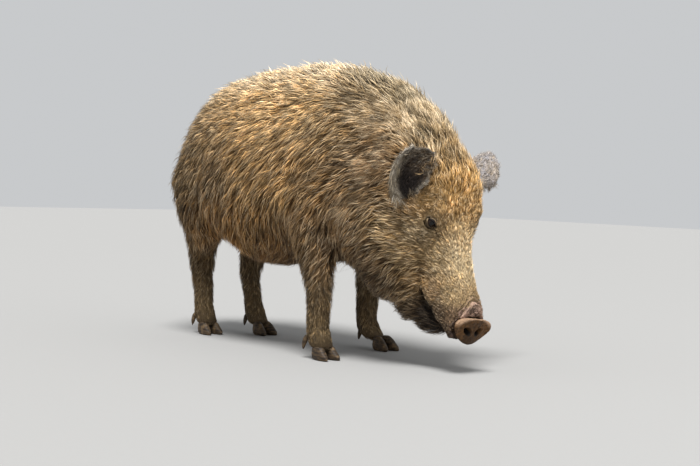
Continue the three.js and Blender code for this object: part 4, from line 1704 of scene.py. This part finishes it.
@dataclass
class Tufts:
    """Many tufts of bristle: one row of each array for each tuft."""

    root: Array
    normal: Array
    lie: Array
    long: Array
    deep: Array
    free: Array
    frost: Array
    pelt: Array
    patch_corner: Array
    gap: Array = field(init=False)
    fleck: Array = field(init=False)
    rise: Array = field(init=False)
    rings: Array = field(init=False)

    def gather(self, clump: float, area: float, vary: float, draw: np.random.Generator) -> None:
        """Gathers the tufts in clumps that share a tone, a length and a turn.

        Args:
            clump: How far apart the clumps are.
            area: How much skin the tufts grow on.
            vary: How much they differ in tone.
            draw: The source of chance.
        """
        count = len(self.root)
        turn = 0.26 * mottle(self.root, 0.16, 5) + 0.2 * mottle(self.root, 0.045, 6)
        heads = draw.choice(count, max(8, min(count // 3, int(area / clump**2))), False)
        tree = KDTree(len(heads))
        for index, head in enumerate(heads):
            tree.insert(self.root[head], index)
        tree.balance()
        mine = np.array([tree.find(spot)[1] for spot in self.root.tolist()])
        self.gap = self.root[heads][mine] - self.root
        tone = 1.0 + 0.36 * draw.standard_normal(len(heads))[mine] + 0.08 * draw.standard_normal(count)
        tone += 0.1 * mottle(self.root, 0.13, 7) + 0.16 * mottle(self.root, 0.035, 8)
        tone = 1.0 + vary * (tone - 1.0)
        warmth = (0.07 * draw.standard_normal(len(heads)))[mine] + 0.08 * mottle(self.root, 0.09, 9)
        hue = np.column_stack([1.0 + 0.5 * warmth, np.ones(count), 1.0 - warmth])
        self.pelt = self.pelt * hue * np.clip(tone, 0.35, 1.8)[:, None]
        fleck = 0.55 * draw.random(len(heads))[mine] + 0.45 * draw.random(count)
        self.fleck = np.clip(0.5 + vary * (fleck - 0.5), 0.0, 1.0)
        rise = 0.8 + 0.16 * draw.standard_normal(len(heads))[mine] + 0.1 * draw.standard_normal(count)
        self.rise = np.clip(rise, 0.3, 1.12)
        stretch = 1.0 + 0.14 * draw.standard_normal(len(heads))[mine] + 0.12 * draw.standard_normal(count)
        self.long = self.long * np.clip(stretch, 0.45, 1.5)
        turn += (0.12 * draw.standard_normal(len(heads)))[mine] + 0.08 * draw.standard_normal(count)
        self.lie = turned(self.lie, self.normal, turn)

    def comb(self, tree: BVHTree, width: float, draw: np.random.Generator) -> None:
        """Lays each tuft along the skin.

        Args:
            tree: The skin, to follow.
            width: How wide a tuft is.
            draw: The source of chance.
        """
        count = len(self.root)
        pull = self.gap - self.normal * np.sum(self.gap * self.normal, axis=1, keepdims=True)
        under = draw.random(count) < 0.4
        height = self.deep * self.rise * np.where(under, 0.55, 1.0)
        height = np.minimum(height, self.long * 0.75) * np.where(draw.random(count) < 0.07, 1.45, 1.0)
        long = np.sqrt(np.maximum(self.long**2 - height**2, (0.5 * self.long) ** 2))
        long = long * np.where(under, 0.8, 1.0)
        side = np.cross(self.normal, self.lie)
        wave = 0.07 * draw.standard_normal(count) * self.long
        bend = self.root + self.lie * (0.5 * long)[:, None] + 0.25 * pull + side * wave[:, None]
        tip = self.root + self.lie * long[:, None] + 0.72 * pull
        bend = self._over(tree, bend, 0.72 * height)
        tip = self._over(tree, tip, height)
        start = self.root - self.normal * 0.0015
        size = width * np.clip(self.long / 0.045, 0.55, 1.2)
        size = size * np.clip(1.0 + 0.25 * draw.standard_normal(count), 0.5, 1.6)
        near = unit(bend - start)
        flat = unit(np.cross(near, self.normal + 0.35 * draw.standard_normal((count, 3))))
        proud = np.cross(flat, near)
        ring = [flat * 0.5 - proud * 0.12, proud * 0.32, -flat * 0.5 - proud * 0.12]
        rings = np.empty((count, 7, 3))
        for index, arm in enumerate(ring):
            rings[:, index] = start + arm * (size * 0.8)[:, None]
            rings[:, 3 + index] = bend + arm * size[:, None]
        rings[:, 6] = tip
        self.rings = rings
        self.pelt = self.pelt * np.where(under, 0.45, 1.06)[:, None]
        self.frost = self.frost * np.where(under, 0.25, 1.0)

    def _over(self, tree: BVHTree, place: Array, height: Array) -> Array:
        """Puts places at a height over the skin, except as far as they hang free."""
        made = np.empty_like(place)
        for index, spot in enumerate(place.tolist()):
            near, normal, _, _ = tree.find_nearest(spot)
            lift = height[index]
            made[index] = (near.x + normal.x * lift, near.y + normal.y * lift, near.z + normal.z * lift)
        free = self.free[:, None]
        hanging = place + self.normal * (0.5 * height)[:, None]
        hanging = hanging + np.array([0.0, 0.0, -0.15]) * self.long[:, None]
        return made * (1.0 - free) + hanging * free

    def mesh(self, name: str, patch: float) -> bpy.types.Mesh:
        """The tufts as one mesh, with the attributes that the finish reads.

        Args:
            name: The mesh's name.
            patch: The size of a tuft's patch in the unwrap.

        Returns:
            The mesh.
        """
        count = len(self.root)
        corners = (np.arange(count)[:, None, None] * 7 + TUFT_FACES).reshape(-1, 3)
        mesh = array_mesh(name, self.rings.reshape(-1, 3), corners)
        set_attribute(mesh, "reach", np.tile([0.0, 0.0, 0.0, 0.5, 0.5, 0.5, 1.0], count))
        set_attribute(mesh, "fleck", np.repeat(self.fleck, 7))
        set_attribute(mesh, "frost", np.repeat(self.frost, 7))
        set_attribute(mesh, "pelt", np.repeat(self.pelt, 7, axis=0))
        corner = np.clip(self.patch_corner, 0.0, 1.0 - patch)
        place = corner[:, None, :] + TUFT_PATCH[TUFT_FACES.ravel()] * patch
        layer = mesh.uv_layers.new(name="OFBake")
        layer.data.foreach_set("uv", np.ascontiguousarray(place, dtype=np.float32).ravel())
        return mesh


# ---- bare pieces ---------------------------------------------------------------------------------


@dataclass
class Eyes:
    """The two eyes."""

    marks: Landmarks
    cornea: float = 0.0009

    def make(self, skin: Skin) -> None:
        """Turns and dresses each eyeball, which looks out between its lids."""
        place, normals = spots(skin.piece.data), outward(skin.piece.data)
        for side in SIDES:
            gaze = skin.lids.frame(self.marks, side, place, normals)[0]
            form = bmesh.new()
            bmesh.ops.create_uvsphere(form, u_segments=40, v_segments=24, radius=self.marks.eye_radius)
            for vert in form.verts:
                share = max(vert.co.z / self.marks.eye_radius, 0.0)
                vert.co.z += self.cornea * float(ramp(np.array(share), 0.78, 0.95))
            turn = Vector((0.0, 0.0, 1.0)).rotation_difference(Vector(gaze)).to_matrix().to_4x4()
            centre = self.marks.eyes[side] - gaze * skin.lids.sink
            bmesh.ops.transform(form, verts=form.verts, matrix=Matrix.Translation(centre) @ turn)
            mesh = bpy.data.meshes.new(f"eyeball_{side}")
            form.to_mesh(mesh)
            form.free()
            material = EyeFinish(f"eye_finish_{side}").make(centre, gaze, self.marks.eye_radius)
            dressed(linked(f"eyeball_{side}", mesh), material, "eye", f"eye_{side}")


@dataclass
class SnoutDisc:
    """The snout's bare disc: a shield with a rolled rim, a blunt ridge down its middle and two nostrils."""

    marks: Landmarks
    effects: Effects
    voxel: float = 0.0013
    tilt: float = math.radians(-6.0)
    half_wide: float = 0.056
    half_high: float = 0.034
    nostril_apart: float = 0.0165
    nostril_half: tuple[float, float] = (0.0104, 0.0074)
    nostril_deep: float = 0.013

    def make(self) -> bpy.types.Object:
        """Draws the disc and dresses it."""
        piece = merged_copy("snout", ["snout_disc"])
        with_modifier(piece, "REMESH", mode="VOXEL", voxel_size=self.voxel)
        mesh = piece.data
        pairs = edge_pairs(mesh)
        place = spread(spots(mesh), pairs, 6)
        centre = (place.min(axis=0) + place.max(axis=0)) / 2.0
        facing = unit(np.linalg.svd(place - place.mean(axis=0), full_matrices=False)[2][2])
        facing = facing if facing @ self.marks.along > 0.0 else -facing
        left = across_plane(np.array([0.0, 1.0, 0.0]) + math.sin(self.tilt) * self.marks.over, facing)
        high = np.cross(facing, left)
        high = high if high @ self.marks.over > 0.0 else -high
        away = place - centre
        wide, tall, deep = away @ left, away @ high, away @ facing
        front = ramp(deep, -0.002, 0.005)
        wide, tall, deep = self._shield(wide, tall, deep, front)
        tone = self._tone(wide, tall, front, place)
        place = centre + wide[:, None] * left + tall[:, None] * high + deep[:, None] * facing
        move_spots(mesh, place)
        set_attribute(mesh, "pelt", tone)
        return dressed(piece, SnoutFinish("snout_finish").make(self.effects), "snout_skin", "snout_disc")

    def _shield(self, wide: Array, tall: Array, deep: Array, front: Array) -> tuple[Array, Array, Array]:
        """Turns the plain oval plate into the disc.

        Args:
            wide: How far each vertex is to the left.
            tall: How far it is up the disc.
            deep: How far it is forward.
            front: How far it belongs to the front face, 0 to 1.

        Returns:
            The new places in the same frame.
        """
        across, up = wide / self.half_wide, tall / self.half_high
        ring = np.hypot(across, up)
        shaped_tall = tall + 0.002 * np.abs(across) ** 1.6
        flare = 1.0 + 0.17 * ramp(deep, 0.0, 0.008) - 0.1 * ramp(deep, 0.0, -0.008)
        shaped_tall = shaped_tall * (1.0 + 0.8 * (flare - 1.0))
        shaped_wide = wide * (1.0 + 0.04 * up) * flare
        grown = deep + front * 0.0028 * np.exp(-(((ring - 0.9) / 0.1) ** 2))
        grown -= front * 0.0028 * (1.0 - np.clip(ring, 0.0, 1.0) ** 2)
        wedge = 0.012 * (1.0 - np.sqrt(across**2 + 0.02)) - 0.005
        grown += front * wedge * ramp(ring, 1.02, 0.6)
        grown -= front * 0.0012 * np.exp(-((wide / 0.0035) ** 2)) * ramp(up, -0.2, 0.5)
        half_wide, half_high = self.nostril_half
        for side in (1.0, -1.0):
            out = wide * side - self.nostril_apart
            lean = tall - 0.001 - 0.25 * out
            hole = np.hypot(out / half_wide, lean / half_high)
            grown -= front * self.nostril_deep * ramp(hole, 1.15, 0.45)
            grown += front * 0.0012 * np.exp(-(((hole - 1.35) / 0.22) ** 2))
        place = np.column_stack([wide, tall, deep])
        edge = ramp(ring, 0.75, 0.98)
        grown += edge * 0.0007 * mottle(place, 0.009, 33) + front * 0.0004 * mottle(place, 0.012, 34)
        shaped_tall += edge * 0.0008 * mottle(place, 0.011, 35) * ramp(up, 0.0, 0.6)
        return shaped_wide, shaped_tall, grown

    def _tone(self, wide: Array, tall: Array, front: Array, place: Array) -> Array:
        """The disc's colour: wet mud on its face, dusty pink on its rim, and painted shade in the nostrils.
        """
        mud, pink = np.array(linear(80, 54, 27)), np.array(linear(170, 140, 114))
        ring = np.hypot(wide / self.half_wide, tall / self.half_high)
        rim = 0.8 * ramp(ring + 0.05 * mottle(place, 0.01, 36), 0.9, 1.04) * ramp(tall, 0.008, 0.024)
        worn = 0.78 + 0.5 * ramp(np.abs(wide), 0.012, 0.04)
        tone = mud * (worn * (1.0 + 0.4 * mottle(place, 0.012, 31)))[:, None]
        low = ramp(tall, 0.0, -0.03)[:, None] * 0.35
        tone = tone * (1.0 - low)
        tone = tone * (1.0 - 0.85 * rim[:, None]) + pink * 0.85 * rim[:, None]
        half_wide, half_high = self.nostril_half
        # painted shade inside the nostrils
        for side in (1.0, -1.0):
            out = wide * side - self.nostril_apart
            hole = np.hypot(out / half_wide, (tall + 0.003 - 0.25 * out) / half_high)
            tone = tone * (1.0 - 0.93 * (front * ramp(hole, 1.2, 0.75))[:, None])
        return tone


@dataclass
class Hooves:
    """The cloven hooves and dew claws."""

    effects: Effects
    voxel: float = 0.0018

    def make(self) -> list[bpy.types.Object]:
        """Draws and dresses them all."""
        material = HornFinish("horn_finish").make(self.effects)
        made = []
        for leg in LEGS:
            for toe in ("inner", "outer"):
                made.append(self._horn(f"hoof_{leg}_{toe}", f"horn_{leg}_{toe}", self.voxel, material))
                made.append(self._horn(f"dew_claw_{leg}_{toe}", f"claw_{leg}_{toe}", self.voxel, material))
        return made

    @staticmethod
    def _horn(node: str, name: str, voxel: float, material: bpy.types.Material) -> bpy.types.Object:
        """Draws one hoof or claw over its node."""
        piece = merged_copy(name, [node])
        with_modifier(piece, "REMESH", mode="VOXEL", voxel_size=voxel)
        mesh = piece.data
        place = spread(spots(mesh), edge_pairs(mesh), 2)
        low, high = place[:, 2].min(), place[:, 2].max()
        place[:, 2] += 0.005 * ramp((place[:, 2] - low) / (high - low), 0.55, 1.0)
        move_spots(mesh, place)
        return dressed(piece, material, "horn", node)


# ---- the studio ----------------------------------------------------------------------------------


@dataclass
class Studio:
    """The floor, the lights and the camera."""

    marks: Landmarks
    focal_px: float = 1361.0
    turn: float = 48.3996
    pitch: float = 2.0
    roll: float = 2.0
    post: tuple[float, float, float] = (3.18979, -2.40614, 0.44858)

    def make(self) -> None:
        """Sets up the studio."""
        self._floor()
        self._camera()
        self._sun("key_light", (1.3, -1.5, 4.2), 24.0, 5.0)
        self._light("fill_light", (4.2, 0.6, 2.2), (3.0, 2.4), 30.0)
        world = bpy.data.worlds.new("studio_air")
        world.use_nodes = True
        air = world.node_tree.nodes["Background"]
        air.inputs["Color"].default_value = (0.93, 0.95, 0.97, 1.0)
        air.inputs["Strength"].default_value = 0.62
        scene = bpy.context.scene
        scene.world = world
        scene.view_settings.view_transform = "Standard"
        scene.view_settings.look = "None"

    @staticmethod
    def _floor() -> None:
        """Lays the floor."""
        form = bmesh.new()
        bmesh.ops.create_grid(form, x_segments=8, y_segments=8, size=14.0)
        mesh = bpy.data.meshes.new("studio_floor")
        form.to_mesh(mesh)
        form.free()
        mesh.materials.append(StageFinish("floor_finish").make())
        linked("studio_floor", mesh)

    def _sun(self, name: str, place: tuple[float, float, float], soft: float, power: float) -> None:
        """Hangs a broad, even light a long way off."""
        lamp = bpy.data.lights.new(name, "SUN")
        lamp.angle = math.radians(soft)
        lamp.energy = power
        held = bpy.data.objects.new(name, lamp)
        bpy.context.scene.collection.objects.link(held)
        held.location = place
        held.rotation_euler = (-Vector(place)).to_track_quat("-Z", "Y").to_euler()

    def _light(
        self, name: str, place: tuple[float, float, float], size: tuple[float, float], power: float
    ) -> None:
        """Hangs a soft lamp that faces the sow."""
        lamp = bpy.data.lights.new(name, "AREA")
        lamp.shape = "RECTANGLE"
        lamp.size, lamp.size_y = size
        lamp.energy = power
        held = bpy.data.objects.new(name, lamp)
        bpy.context.scene.collection.objects.link(held)
        held.location = place
        held.rotation_euler = (Vector((0.0, 0.0, 0.4)) - Vector(place)).to_track_quat("-Z", "Y").to_euler()

    def _camera(self) -> None:
        """Sets the camera low at her right front."""
        turn, pitch, roll = (math.radians(angle) for angle in (self.turn, self.pitch, self.roll))
        back = Vector((math.sin(turn) * math.cos(pitch), -math.cos(turn) * math.cos(pitch), math.sin(pitch)))
        right = Vector((math.cos(turn), math.sin(turn), 0.0))
        up = back.cross(right)
        tilted_right = right * math.cos(roll) + up * math.sin(roll)
        tilted_up = up * math.cos(roll) - right * math.sin(roll)
        lens = bpy.data.cameras.new("camera")
        lens.sensor_width = SENSOR_MM
        lens.lens = self.focal_px * SENSOR_MM / FRAME_WIDTH_PX
        lens.clip_end = 200.0
        held = bpy.data.objects.new("camera", lens)
        bpy.context.scene.collection.objects.link(held)
        turned_axes = Matrix((tilted_right, tilted_up, back)).transposed().to_4x4()
        held.matrix_world = Matrix.Translation(Vector(self.marks.stance) + Vector(self.post)) @ turned_axes
        bpy.context.scene.camera = held


# ---- putting it together -------------------------------------------------------------------------


def main() -> None:
    """Dresses the sow, piece by piece."""
    logging.basicConfig(level=logging.INFO, format="%(message)s")
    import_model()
    marks = Landmarks.read()
    effects = Effects()
    Studio(marks).make()
    skin = Skin(Pelt(marks), effects)
    skin.make()
    Coat(skin, effects).make()
    SnoutDisc(marks, effects).make()
    Hooves(effects).make()
    Eyes(marks).make(skin)


if __name__ == "__main__":
    main()
